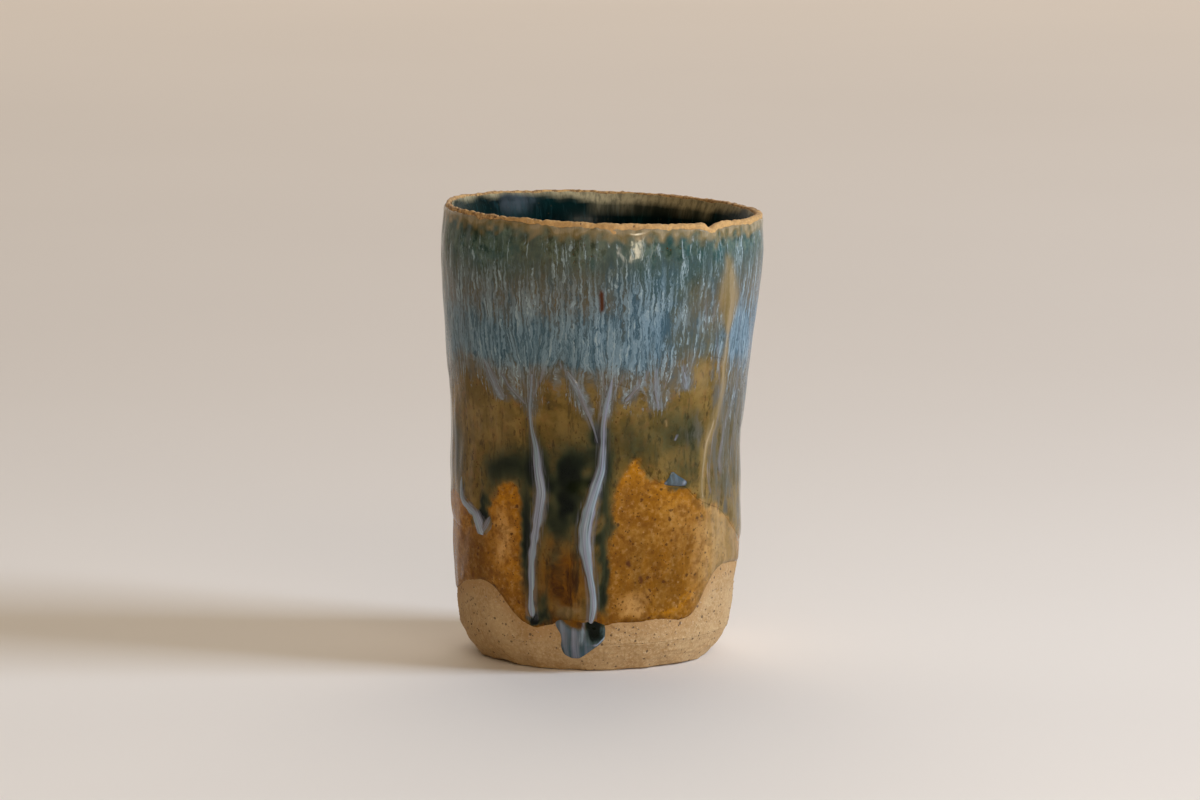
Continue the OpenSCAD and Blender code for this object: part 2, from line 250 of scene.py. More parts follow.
# %% Build a mesh from rings
def ring_mesh(name, rings, closed=True):
    points = np.array(rings, float)
    count, columns = points.shape[:2]
    vertices = points.reshape(-1, 3) * MM
    r, c = np.meshgrid(np.arange(count if closed else count - 1), np.arange(columns), indexing="ij")
    nr, nc = (r + 1) % count, (c + 1) % columns
    corners = [r * columns + c, r * columns + nc, nr * columns + nc, nr * columns + c]
    faces = np.stack(corners, -1).reshape(-1, 4).tolist()
    if not closed:
        first, last = len(vertices), len(vertices) + 1
        vertices = np.vstack([vertices, vertices[:columns].mean(0), vertices[-columns:].mean(0)])
        top = (count - 1) * columns
        faces += [[first, (i + 1) % columns, i] for i in range(columns)]
        faces += [[last, top + i, top + (i + 1) % columns] for i in range(columns)]
    mesh = bpy.data.meshes.new(name)
    mesh.from_pydata(vertices.tolist(), [], faces)
    mesh.polygons.foreach_set("use_smooth", np.ones(len(mesh.polygons), bool))
    mesh.update()
    return mesh

print("a skin round the cup has", COLUMNS, "columns")

# %% Finish a piece and give it attributes
def finish_piece(name, mesh, node, material):
    piece = bpy.data.objects.new(name, mesh)
    scene.collection.objects.link(piece)
    mesh.materials.clear()
    mesh.materials.append(material)
    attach(piece, "root")
    if node:
        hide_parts(node)
    triangles = sum(len(p.vertices) - 2 for p in mesh.polygons)
    print(name, "has", triangles, "triangles")
    return piece

def give(mesh, name, values):
    values = np.asarray(values, np.float32)
    if values.ndim == 2:
        mesh.attributes.new(name, "FLOAT_VECTOR", "POINT").data.foreach_set("vector", values.ravel())
    else:
        mesh.attributes.new(name, "FLOAT", "POINT").data.foreach_set("value", values)

def points_of(mesh):
    points = np.array([v.co for v in mesh.vertices]) / MM
    return points, np.degrees(np.arctan2(points[:, 0], -points[:, 1]))

print("each piece rides on root")

# %% [markdown]
# ## A short hand for shader nodes
# The materials below are long chains of noise, ramps and mixes. A small class that adds a node and joins
# its inputs in one call keeps each chain readable.

# %% Node helper
class Paint:
    def __init__(self, name):
        self.material = bpy.data.materials.new(name)
        self.material.use_nodes = True
        self.tree = self.material.node_tree
        self.shader = self.tree.nodes["Principled BSDF"]

    def add(self, kind, inputs=(), **settings):
        node = self.tree.nodes.new(kind)
        for key, value in settings.items():
            setattr(node, key, value)
        for key, value in dict(inputs).items():
            self.join(node.inputs[key], value)
        return node

    def join(self, socket, value):
        if isinstance(value, bpy.types.NodeSocket):
            self.tree.links.new(value, socket)
        elif value is not None:
            socket.default_value = value

    def attribute(self, name, vector=False):
        node = self.add("ShaderNodeAttribute", attribute_name=name)
        return node.outputs["Vector" if vector else "Fac"]

    def place(self):
        return self.vector("MULTIPLY", self.add("ShaderNodeTexCoord").outputs["Object"], (1000.0,) * 3)

    def math(self, work, a, b=None, clamp=False):
        return self.add("ShaderNodeMath", {0: a, 1: b}, operation=work, use_clamp=clamp).outputs[0]

    def times(self, a, b, clamp=False):
        return self.math("MULTIPLY", a, b, clamp)

    def plus(self, a, b):
        return self.math("ADD", a, b)

    def centred(self, value):
        return self.math("SUBTRACT", value, 0.5)

    def vector(self, work, a, b=None):
        return self.add("ShaderNodeVectorMath", {0: a, 1: b}, operation=work).outputs[0]

    def moved(self, vector, by):
        return self.vector("ADD", vector, by)

    def drawn(self, vector, across, along):
        return self.vector("MULTIPLY", vector, (across, across, along))

    def ramp(self, value, low, high, start=0.0, end=1.0):
        inputs = {0: value, 1: low, 2: high, 3: start, 4: end}
        return self.add("ShaderNodeMapRange", inputs, interpolation_type="SMOOTHSTEP").outputs[0]

    def mix(self, share, a, b):
        a, b = (v if isinstance(v, bpy.types.NodeSocket) else (*v, 1.0) for v in (a, b))
        return self.add("ShaderNodeMix", {0: share, 6: a, 7: b}, data_type="RGBA").outputs[2]

    def noise(self, vector, scale, detail=2.0, rough=0.5, colour=False):
        inputs = {"Vector": vector, "Scale": scale, "Detail": detail, "Roughness": rough}
        return self.add("ShaderNodeTexNoise", inputs).outputs["Color" if colour else "Fac"]

    def cells(self, vector, scale):
        return self.add("ShaderNodeTexVoronoi", {"Vector": vector, "Scale": scale}).outputs["Distance"]

    def finish(self, colour, rough, height, depth):
        self.join(self.shader.inputs["Base Color"], colour)
        self.join(self.shader.inputs["Roughness"], rough)
        bump = self.add("ShaderNodeBump", {"Strength": 1.0, "Distance": depth, "Height": height})
        self.join(self.shader.inputs["Normal"], bump.outputs[0])
        return self.material

print("paint helper ready")

# %% [markdown]
# ## Where the glazes end
# The amber coat stops above the bare foot. The olive coat is drawn up over two bare-looking hills and hangs
# down between them as a tongue. The blue coat ends in a fringe a third of the way down. Each line is a
# table of turn and height, read off the picture at the front and guessed behind.

# %% Glaze lines
amber_line = round_line([(-172, 12.7), (-155, 14.3), (-140, 15.4), (-120, 13.2), (-105, 12.5), (-87, 13.6),
                         (-75, 15.3), (-65, 17.2), (-58, 18.0), (-52, 18.5), (-48, 18.2), (-44, 17.2),
                         (-40.4, 15.4), (-35.4, 12.6), (-31.5, 10.9), (-28, 10.0), (-25.4, 9.6),
                         (-21, 10.2), (-16, 10.7), (-8, 10.5), (0, 10.3), (4, 10.5), (10, 11.1),
                         (18, 11.1), (28, 11.2), (38, 10.7), (45, 11.9), (49, 14.5), (53, 17.7),
                         (57, 20.0), (66, 21.0), (78, 20.2), (90, 19.2), (110, 17.0), (130, 16.3),
                         (155, 13.5)])
olive_line = round_line([(-175, 28.8), (-160, 31.0), (-145, 35.5), (-120, 27.8), (-105, 30.5), (-90, 29.8),
                         (-75, 29.0), (-65, 28.8), (-58, 29.8), (-53, 30.8), (-48.2, 32.3), (-44.7, 36.6),
                         (-40, 39.4), (-36.6, 40.2), (-33, 40.0), (-30.4, 38.0), (-29, 33.5), (-28, 27.0),
                         (-27, 19.0), (-25.5, 13.2), (-22, 11.9), (-14, 11.7), (-5, 11.8), (0, 12.4),
                         (2.5, 15.0), (4, 21.0), (5.2, 28.0), (6.6, 34.4), (8.2, 40.2), (10, 43.6),
                         (12.5, 45.8), (15.5, 46.4), (18.5, 45.2), (22, 42.6), (27, 40.6), (33, 40.2),
                         (38, 39.4), (44, 36.6), (52, 34.6), (60, 33.0), (68, 29.5), (78, 26.0),
                         (90, 24.0), (104, 27.5), (120, 31.7), (135, 33.5), (152, 39.4), (166, 33.0)])
fringe_line = round_line([(-160, 58.6), (-140, 61.5), (-120, 63.4), (-100, 60.0), (-85, 59.5), (-70, 63.5),
                          (-61, 66.0), (-50, 65.6), (-39, 63.4), (-32, 62.6), (-24, 63.6), (-14, 64.4),
                          (-6, 62.2), (1, 63.0), (9, 62.2), (16, 60.8), (24, 60.2), (31, 62.0), (38, 64.2),
                          (46, 66.4), (54, 66.0), (62, 59.0), (75, 50.5), (90, 48.5), (110, 53.0),
                          (130, 57.6), (148, 60.0), (165, 63.4)])

print("olive hangs down to", np.round(olive_line(column_turns).min(), 1), "mm")

# %% Rim and bare lip
LIP_R = 33.0

def rim_height(turn):
    ring = place(turn, LIP_R, 0.0)
    step = 0.28 * between(36.5, 40.6, turn) * (1 - between(40.6, 41.8, turn))
    slot = -0.55 * between(40.9, 43.0, turn) * (1 - between(43.0, 49.0, turn))
    nicks = 0.05 * swell(ring, 7.0, 11) + 0.035 * swell(ring, 1.7, 12)
    nicks -= 0.14 * np.maximum(0, swell(ring, 2.3, 13) - 1.2)
    return read_round(rim_line, turn) + step + slot + nicks

LIP_BARE, FRONT_BARE = 0.8, 0.35
rim = rim_height(column_turns)
lip_ring = place(column_turns, LIP_R, 0.0)
front_bare = FRONT_BARE * between(-40, -10, column_turns) * between(90, 60, column_turns)
bare_line = read_round(rim_line, column_turns) - LIP_BARE - front_bare
bare_line += 0.10 * swell(lip_ring, 5.0, 14) + 0.07 * swell(lip_ring, 1.9, 15)
print("glaze ends", np.round((rim - bare_line).mean(), 1), "mm below the rim")

# %% [markdown]
# ## Bare clay
# The body is a toasted tan stoneware with iron specks and pale grog, and it is bare at the foot and round
# the lip. Close to the glaze it flashes orange, and on the lip it is toasted brown, with dark char that is
# made darker at the left and behind as painted shade. Cells of three sizes give the pale grog, the iron
# specks and a fine dust, and noise gives the tone. The bump follows the noise, the grog and the specks.

# %% Clay material
def clay_material():
    paint = Paint("speckled_clay")
    mm = paint.place()
    broad = paint.noise(mm, 0.16, 4.0, 0.6)
    fine = paint.noise(mm, 1.4, 5.0, 0.65)
    tone = paint.mix(paint.ramp(broad, 0.35, 0.68), (0.36, 0.204, 0.070), (0.445, 0.288, 0.130))
    tone = paint.mix(paint.ramp(fine, 0.36, 0.7), tone, (0.52, 0.358, 0.180))
    flash = paint.times(paint.attribute("flash"), paint.ramp(broad, 0.3, 0.6, 0.45, 1.0))
    tone = paint.mix(paint.times(flash, 0.62), tone, (0.38, 0.195, 0.055))
    toast = paint.times(paint.attribute("toast"), paint.ramp(fine, 0.3, 0.62, 0.55, 1.0))
    tone = paint.mix(paint.times(toast, 0.85), tone, (0.62, 0.365, 0.125))
    # dark char on the lip, made darker at the left and behind as painted shade
    char = paint.ramp(paint.noise(mm, 1.1, 4.0, 0.7), 0.40, 0.62)
    char_and_shade = paint.times(paint.attribute("char_and_shade"), char, clamp=True)
    tone = paint.mix(char_and_shade, tone, (0.17, 0.082, 0.026))
    size = paint.noise(mm, 0.8, 1.0)
    pale = paint.ramp(paint.cells(mm, 1.15), 0.10, 0.22, 1.0, 0.0)
    tone = paint.mix(paint.times(pale, 0.4), tone, (0.66, 0.50, 0.33))
    iron = paint.ramp(paint.plus(paint.cells(paint.moved(mm, (7.3, 1.9, 4.4)), 0.70),
                                 paint.ramp(size, 0.42, 0.62, 0.16, -0.05)), 0.13, 0.24, 1.0, 0.0)
    dust = paint.ramp(paint.cells(paint.moved(mm, (2.1, 8.2, 3.7)), 2.6), 0.12, 0.24, 1.0, 0.0)
    dark = paint.math("MAXIMUM", iron, paint.times(dust, 0.22))
    tone = paint.mix(paint.times(dark, 0.8), tone, (0.085, 0.045, 0.02))
    height = paint.plus(fine, paint.times(pale, 0.25))
    height = paint.math("SUBTRACT", height, paint.times(iron, 0.5))
    rough = paint.ramp(fine, 0.3, 0.7, 0.72, 0.92)
    return paint.finish(tone, rough, height, 0.00016)

bare_clay = clay_material()
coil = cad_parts["corner_coil"].data
coil.materials.clear()
coil.materials.append(bare_clay)
print("clay goes on the hidden coil too")

# %% [markdown]
# ## The wall
# The wall's outside is fine where it is bare, at the foot and the lip, and coarse where glaze hides it. Its
# relief is three swells: the slab's unevenness, the scraped skin, and the grog. The lip is a rounded arch
# from the outside to the inside, and its height carries the nicks and the notch of the lap.

# %% Rings of clay
def clay_relief(points):
    scraped = points * np.array([1.0, 1.0, 2.4])
    return 0.08 * swell(points, 8.0, 3) + 0.028 * swell(scraped, 3.0, 4) + 0.018 * swell(points, 1.1, 5)

def clay_ring(height, sink=0.0):
    height = np.broadcast_to(height, column_turns.shape)
    flat = place(column_turns, outside(column_turns, height), height)
    return place(column_turns, outside(column_turns, height) + clay_relief(flat) - sink, height)

FLOOR_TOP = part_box("floor_slab")[1].z / MM
print("wall stands on the floor at", round(FLOOR_TOP, 2), "mm")

# %% Clay wall
rings = [clay_ring(z) for z in np.linspace(FLOOR_TOP, 25.0, 62)]
rings += [clay_ring(z, sink=0.1) for z in np.linspace(29.0, 88.0, 13)]
rings += [clay_ring(rim - down) for down in (4.2, 3.4, 2.8, 2.4, 2.1, 1.8, 1.5, 1.2, 0.95)]
LIP_ROUND, LIP_INSET = 0.8, 0.35
lip_out = np.linalg.norm(clay_ring(rim - LIP_ROUND)[:, :2], axis=1)
lip_in = inside(column_turns, rim - LIP_ROUND) + LIP_INSET
for a in np.linspace(0, np.pi, 17):
    side, up = np.sign(np.cos(a)) * abs(np.cos(a)) ** 0.75, np.sin(a) ** 0.7
    across = (lip_out + lip_in) / 2 + side * (lip_out - lip_in) / 2
    ring = place(column_turns, across, rim - LIP_ROUND * (1 - up))
    rings.append(ring + 0.05 * up * swell(ring, 1.4, 16)[:, None] * np.array([0, 0, 1.0]))
rings += [place(column_turns, inside(column_turns, z), np.broadcast_to(z, rim.shape))
          for z in [rim - 2.2, rim - 4.0] + list(np.linspace(86.0, FLOOR_TOP, 12))]
wall_mesh = ring_mesh("clay_wall", rings)
wall_points = np.array(rings).reshape(-1, 3)
wall_turns = np.tile(column_turns, len(rings))
wall_heights = wall_points[:, 2]
near_lip = between(80.0, 85.0, wall_heights)
# painted shade: the lip is darker at the left and behind, where less light falls, over its real char
lit_lip_share = 0.45 + 0.55 * between(-46, -16, wall_turns) * between(100, 70, wall_turns)
give(wall_mesh, "flash", between(5.0, 0.0, amber_line(wall_turns) - wall_heights))
give(wall_mesh, "toast", near_lip)
give(wall_mesh, "char_and_shade", near_lip * (1.3 - lit_lip_share))
finish_piece("clay_wall", wall_mesh, "wall_slab", bare_clay)

# %% [markdown]
# ## The floor and its bevel
# The disc under the wall had its edge cut back with a knife, in strokes that didn't meet exactly, so the
# foot looks lighter and glaze can run a little further before it sticks to the shelf. The strokes are slow
# swells of the bevel's radius, and the lower edge lifts off the table where a stroke went deep.

# %% Clay floor
floor_clay = surface_of("floor_slab")
PROBE, FOOT_R, BOW = 0.4, 25.0, 0.35
foot_low = np.array([ray_radius(floor_clay, t, PROBE, True) for t in column_turns])
foot_high = np.array([ray_radius(floor_clay, t, FLOOR_TOP - PROBE, True) for t in column_turns])
slant = (foot_high - foot_low) / (FLOOR_TOP - 2 * PROBE)
foot_edge = foot_low - PROBE * slant
ring_ground = place(column_turns, FOOT_R, 0.0)
stroke = 0.30 * swell(ring_ground, 17.0, 21) + 0.14 * swell(ring_ground, 5.0, 22)
lift = 0.14 + 0.45 * bump(column_turns, -52, 11) + 0.4 * bump(column_turns, 44, 9)
lift += 0.12 * np.abs(swell(ring_ground, 12.0, 23))
rings = [place(column_turns, share * foot_edge, np.full(COLUMNS, 0.22 * between(0.9, 0.6, share)))
         for share in (0.08, 0.25, 0.45, 0.62, 0.75, 0.86)]
rings += [place(column_turns, foot_edge - back + stroke, up * lift) for back, up in ((1.5, 0.0), (0.5, 0.4))]
top_ring = np.linalg.norm(clay_ring(FLOOR_TOP)[:, :2], axis=1)
for share in np.linspace(0.0, 1.0, 24):
    height = lift + (FLOOR_TOP - lift) * share
    flat = place(column_turns, foot_edge + slant * height, height)
    combed = 0.05 * np.sin(np.pi * share) * swell(flat * np.array([0.4, 0.4, 2.0]), 2.0, 24)
    grain = clay_relief(flat) * (1 - share) + combed
    bow = BOW * np.sin(np.pi * share) ** 2
    start = foot_edge + stroke * (1 - share) + slant * lift
    rings.append(place(column_turns, start + (top_ring - start) * share + bow + grain, height))
rings += [place(column_turns, top_ring * share, np.full(COLUMNS, FLOOR_TOP))
          for share in (0.96, 0.8, 0.5, 0.2)]
floor_mesh = ring_mesh("clay_floor", rings, closed=False)
for name in ("flash", "toast", "char_and_shade"):
    give(floor_mesh, name, np.zeros(len(floor_mesh.vertices)))
finish_piece("clay_floor", floor_mesh, "floor_slab", bare_clay)

# %% [markdown]
# ## The paths of the runs
# Blue glaze gathered in the fringe and ran down in ropes. Two long ones and a branch show at the front, a
# short drip at the left, and small fingers below the fringe. Each is a table of turn, height and half
# width, from top to bottom.

# %% Run tables
run_tables = {
    "run_middle": [(-24.0, 66.6, 0.2), (-24.0, 65.0, 0.35), (-24.8, 59.7, 0.5), (-25.4, 56.4, 0.55),
                   (-24.9, 52.2, 0.6), (-23.1, 48.3, 1.0), (-22.4, 43.7, 1.45), (-20.9, 38.9, 1.6),
                   (-22.2, 34.5, 1.5), (-23.9, 29.6, 1.25), (-25.3, 24.5, 0.95), (-25.6, 17.8, 0.85),
                   (-26.2, 14.8, 1.05), (-26.0, 12.8, 1.4), (-26.0, 11.2, 0.9)],
    "run_right": [(7.4, 65.6, 0.2), (6.6, 63.6, 0.45), (5.5, 60.1, 0.65), (4.2, 56.9, 0.75),
                  (3.3, 53.7, 0.85), (3.3, 49.4, 0.95), (2.8, 44.1, 1.0), (0.5, 40.3, 1.4),
                  (-1.9, 35.8, 1.75), (-3.6, 31.3, 1.9), (-3.6, 27.6, 1.65), (-2.1, 22.5, 1.15),
                  (-0.6, 17.6, 0.95), (-0.4, 14.4, 0.9), (-1.4, 11.6, 0.7), (-2.6, 9.8, 0.4)],
    "run_branch": [(-11.6, 66.6, 0.3), (-10.4, 65.5, 0.55), (-7.3, 62.3, 0.75), (-4.6, 58.6, 0.65),
                   (-2.1, 55.8, 0.5), (0.0, 52.6, 0.38), (1.2, 49.8, 0.3)],
    "drip_left": [(-64.6, 39.8, 0.4), (-64.2, 37.2, 1.0), (-63.0, 35.5, 1.3), (-60.6, 34.4, 1.3),
                  (-57.6, 33.8, 1.2), (-54.8, 33.2, 1.4), (-53.0, 32.4, 1.7), (-52.2, 31.2, 1.75),
                  (-51.4, 30.0, 1.8), (-50.6, 29.2, 1.7), (-50.0, 28.3, 1.0)],
    "drip_fork": [(-45.6, 32.6, 0.4), (-46.0, 31.6, 1.1), (-47.2, 30.5, 1.4), (-48.8, 29.6, 1.3),
                  (-50.0, 28.8, 0.8)],
    "finger_a": [(-47.0, 67.4, 0.5), (-45.2, 66.0, 0.9), (-43.4, 64.2, 1.1), (-41.6, 62.4, 1.2),
                 (-39.8, 60.4, 1.15), (-38.2, 58.8, 0.9), (-37.4, 58.0, 0.5)],
    "finger_b": [(-39.5, 66.0, 0.2), (-37.8, 64.1, 0.35), (-34.5, 61.4, 0.48), (-31.0, 59.4, 0.42),
                 (-27.4, 57.6, 0.25)],
    "finger_c": [(19.4, 64.6, 0.3), (16.9, 62.3, 0.5), (13.9, 60.0, 0.68), (11.4, 58.5, 0.5)],
    "finger_d": [(22.4, 64.6, 0.3), (22.8, 61.9, 0.6), (24.1, 58.6, 0.62), (25.2, 56.5, 0.3)],
    "finger_e": [(33.4, 67.0, 0.3), (34.4, 64.9, 0.5), (35.6, 61.9, 0.55), (36.2, 60.4, 0.3)],
}

def run_at(table, height):
    rows = np.array(sorted(table, key=lambda row: row[1]), float)
    low, high = rows[0, 1], rows[-1, 1]
    step = np.linspace(low, high, 200)
    curves = [softened(np.interp(step, rows[:, 1], rows[:, k]), 8) for k in (0, 2)]
    middle, half = (np.interp(height, step, curve) for curve in curves)
    reach = between(low - 1.0, low + 0.6, height) * between(high + 0.5, high - 2.0, height)
    return middle, half, reach

print("runs:", ", ".join(run_tables))

# %% [markdown]
# ## Where each glaze tone lies
# The tones shade into each other, so they are painted by shares that every skin carries as attributes:
# - blue for the rutile streaks, and veil for the even blue under them
# - rope_and_glint for solid pale blue, as on the runs, and painted glints; pool_and_shade for dark glassy
#   depths and painted shade
# - thin for the amber hills, rust and peach for their orange and pale parts
# - warm for brown, iron for rusty specks, teal for the band under the lip and tan for cream streaks and a
#   painted glint
#
# Patches are soft boxes and blobs are soft ovals of one tone. One dark patch is a painted shadow under the
# curl, and one dark blob is painted shade on the left edge. The flooded blobs take the amber away where dark
# glaze ran over it. Threads are thin lines of one tone, and two short ones are painted glints on the dark
# pools. All are tables of turns and heights, read off the picture at the front and guessed behind.

# %% Patches
# left, right, low, high, softness across, softness up, strength
pools = [
    (-44, 46, 42.0, 50.0, 7.0, 4.0, 0.28),
    (-20, 10, 51.0, 60.0, 8.0, 4.0, 0.12),
    (10, 50, 46.0, 62.0, 8.0, 5.0, 0.19),
    (51, 92, 35.0, 60.0, 4.0, 5.0, 0.26),
    (49, 54, 69.8, 73.2, 2.0, 2.0, 0.90),
    (-60, -44, 91.0, 95.0, 4.0, 1.8, 0.60),
    (-40, -35, 88.0, 93.0, 2.4, 2.4, 0.55),
    (20, 30, 89.0, 94.0, 4.0, 2.0, 0.40),
    (34, 44, 84.0, 93.0, 3.4, 3.0, 0.40),
]
dark_edges_and_shadow = [
    (-31.0, -26.0, 27.0, 40.0, 2.6, 6.0, 0.78),
    (-30.0, -26.5, 13.0, 26.0, 2.2, 5.0, 0.45),
    (-30, -17, 10.4, 13.0, 3.0, 1.4, 0.55),
    (-28, -24, 10.2, 12.2, 1.4, 0.8, 0.70),
    (-22.6, -18.5, 12.0, 19.0, 2.4, 4.0, 0.40),
    # painted shadow: this patch darkens the glaze just under the curl
    (29, 40, 39.0, 40.0, 2.6, 0.9, 0.80),
    (-50.6, -46.4, 30.8, 37.4, 1.8, 2.4, 0.85),
    (2.6, 6.2, 13.0, 40.0, 2.6, 6.0, 0.62),
    (5.0, 8.6, 26.0, 46.0, 3.2, 6.0, 0.30),
]
browns = [(-30, -16, 10.0, 12.4, 3.0, 1.0, 0.9), (10, 44, 13.0, 30.0, 8.0, 7.0, 0.42),
          (-64, -46, 18.0, 30.0, 6.0, 4.0, 0.45)]
golds = [(-44, -31, 20.0, 40.0, 5.0, 4.0, 0.85), (8, 20, 41.0, 47.0, 6.0, 3.0, 0.55),
         (26, 44, 35.0, 39.0, 6.0, 2.4, 0.30)]
creams = [(-56, -34, 48.0, 58.0, 6.0, 4.0, 0.28), (-15, -5, 12.6, 14.8, 3.0, 0.9, 0.55),
          (40, 47, 60.0, 66.0, 3.0, 3.0, 0.45)]
peaches = [(-42, -36, 23.0, 34.0, 4.0, 4.0, 1.0), (11, 21, 12.4, 16.6, 3.0, 1.6, 0.9),
           (30, 44, 27.0, 34.0, 7.0, 5.0, 0.20), (46, 66, 20.0, 31.0, 5.0, 4.0, 0.80)]
print(len(pools) + len(dark_edges_and_shadow), "dark patches,", len(browns) + len(creams), "warm ones")

# %% Blobs of deep glaze, and one of painted shade
# turn, height, reach across, reach up, strength
deep_glaze_and_shade_blobs = [(-35, 43.8, 12.0, 4.6, 0.58), (-46, 41.0, 7.0, 4.6, 0.34), (-8, 47.0, 9.0, 5.6, 0.52),
              (-11, 39.4, 8.0, 5.4, 0.72), (-13, 33.5, 7.0, 5.4, 0.60), (-14, 26.0, 4.5, 6.0, 0.42),
              (-20, 15.4, 3.5, 4.0, 0.30), (-29.0, 27.0, 2.6, 10.0, 0.17), (3.4, 21.0, 3.0, 9.0, 0.22),
              (2.8, 13.5, 3.0, 3.5, 0.30), (15, 51.4, 9.0, 4.6, 0.26), (34, 52.4, 10.0, 4.2, 0.40),
              (42.4, 50.6, 5.0, 5.0, 0.24), (43, 41.5, 3.2, 3.6, 0.34), (36.6, 42.6, 5.0, 2.8, 0.30),
              # painted shade: the blob at -70 darkens the left edge of the cup, where less light falls
              (-70, 46.0, 7.0, 9.0, 0.35), (63, 45.0, 9.0, 8.0, 0.26)]
flooded = [(-29.6, 26.0, 2.2, 9.5, 1.0), (3.8, 20.0, 2.2, 8.0, 0.9)]
brown_blobs = [(3.6, 20, 2.8, 9.0, 0.7), (-29.4, 26, 2.6, 9.5, 0.7), (-12, 20, 11, 10, 1.20)]
print(len(deep_glaze_and_shade_blobs), "dark blobs,", len(brown_blobs), "brown ones")

# %% Streak along the lap and sinks of the fringe
# height, turn, half width of the streak, then the turn, top, foot, reach and pull of each sink
lap_streak = [(57, 55.4, 0.2), (60, 55.8, 0.6), (64, 55.8, 1.1), (68, 55.8, 0.9), (71, 55.4, 0.3),
              (74, 55.0, 1.7), (79, 54.4, 3.0), (83, 53.6, 2.6), (87, 52.2, 1.3), (91, 50.4, 0.3)]
sinks = [(-24.5, 74, 61, 8, 1.1), (5.0, 72, 59, 6, 1.0), (-8.0, 73, 61, 5, 0.9), (-41.0, 72, 60, 6, 0.9),
         (24.0, 71, 59, 6, 0.9), (14.0, 70, 60, 4, 0.6), (36.0, 73, 62, 5, 0.8), (-60.0, 74, 62, 6, 0.7)]
print(len(lap_streak), "places along the lap,", len(sinks), "sinks")

# %% Threads
# tone, half width, strength, points
threads = [
    ("rope_and_glint", 0.31, 0.48, [(-18.4, 66.8), (-19.2, 65.3), (-21.7, 61.9), (-23.7, 59.7), (-24.8, 57.4)]),
    ("rope_and_glint", 0.28, 0.36, [(-30, 67), (-28.4, 63), (-25.4, 60)]),
    ("rope_and_glint", 0.31, 0.40, [(-14.0, 67.5), (-12.4, 66.2), (-10.2, 64.8)]),
    ("rope_and_glint", 0.28, 0.40, [(2.5, 66), (3.5, 62.5), (4.6, 58.5)]),
    ("rope_and_glint", 0.28, 0.36, [(11.5, 65), (9.6, 62.6), (6.4, 60.2)]),
    ("rope_and_glint", 0.31, 0.40, [(-46, 67), (-44.6, 64.6), (-43, 62.2)]),
    ("rope_and_glint", 0.31, 0.40, [(20.5, 66), (19.0, 63.4), (16.4, 61.6)]),
    ("rope_and_glint", 0.31, 0.44, [(23.4, 66), (22.8, 63.4), (23.0, 61)]),
    ("rope_and_glint", 0.28, 0.36, [(29, 65), (27.4, 62), (26.2, 60.4)]),
    ("rope_and_glint", 0.31, 0.36, [(32.6, 68), (33.8, 65.8), (34.6, 63.6)]),
    ("rope_and_glint", 0.46, 0.22, [(-60.5, 67), (-60, 60), (-59.6, 52), (-60.4, 44), (-62, 39), (-60.6, 36.6)]),
    ("rope_and_glint", 0.25, 0.16, [(-53, 66), (-52, 58), (-52.5, 52)]),
    # painted highlights: these two short strokes stand for glints on the dark pools at the right
    ("rope_and_glint", 0.26, 0.64, [(33.8, 51.2), (33.2, 50.2), (32.2, 49.4)]),
    ("tan", 0.14, 0.60, [(28.0, 54.4), (28.4, 53.6), (28.8, 52.6)]),
    ("rope_and_glint", 0.46, 0.34, [(45, 84), (46.4, 76), (48.6, 70), (51.6, 65), (53.2, 61), (53.6, 57.5),
                          (52.0, 54)]),
    ("rope_and_glint", 0.34, 0.28, [(40, 85), (42, 78), (43.4, 72)]),
    ("rope_and_glint", 0.70, 0.34, [(62.5, 84), (64.6, 76), (67, 68), (69, 62), (67.8, 57), (62.4, 52), (59.9, 47),
                          (58.9, 43.8), (60.6, 39.3), (64, 35.6)]),
    ("rope_and_glint", 0.85, 0.27, [(74, 84), (76, 70), (75, 58), (70.5, 50), (69, 44), (71, 37)]),
    ("rope_and_glint", 0.37, 0.40, [(50.4, 45), (50.0, 42.3), (51.3, 39), (54, 35.6)]),
    ("tan", 1.10, 0.66, [(57.6, 67), (57.4, 62), (56.4, 58), (54.4, 55), (52.4, 53), (50.2, 50.6),
                         (48.4, 48), (47.4, 44.6)]),
    ("tan", 0.55, 0.97, [(56.0, 57.4), (54.0, 54.6), (51.2, 51.6), (48.1, 47.8), (46.9, 43.5),
                         (46.4, 40.4), (46.9, 37.6), (49.0, 35.0), (52.0, 33.8)]),
    ("peach", 0.9, 0.85, [(46.6, 42), (46.8, 38.4), (49.4, 35.2), (54, 33.4), (60, 32.0), (68, 28.6)]),
    ("rope_and_glint", 0.45, 0.34, [(58, 60), (55.4, 54), (53.2, 50), (52, 45.4), (51.4, 41), (53, 37)]),
    ("iron", 0.36, 1.10, [(2.4, 83), (2.7, 80), (2.7, 77.4)]),
    ("rust", 0.45, 0.80, [(24, 12.6), (33, 12.8), (41, 14.6), (47, 18.5)]),
    ("rust", 0.22, 0.70, [(30, 14.6), (38, 15.6), (43, 17.4)]),
    ("warm", 0.28, 0.80, [(-58, 18.4), (-50, 18.8), (-44, 17.8), (-40, 16.0), (-35, 13.2)]),
    ("iron", 0.36, 0.90, [(13.6, 24.2), (14.0, 23.4)]),
    ("iron", 0.34, 0.85, [(18.6, 20.8), (19.2, 19.8)]),
    ("warm", 0.26, 0.75, [(19.2, 19.8), (20.6, 17.6), (23.4, 15.0), (26.0, 13.4)]),
    ("warm", 0.60, 0.55, [(30, 39.4), (38, 38.4), (44, 35.6), (49, 34.0)]),
]
print(len(threads), "threads at the front and sides")

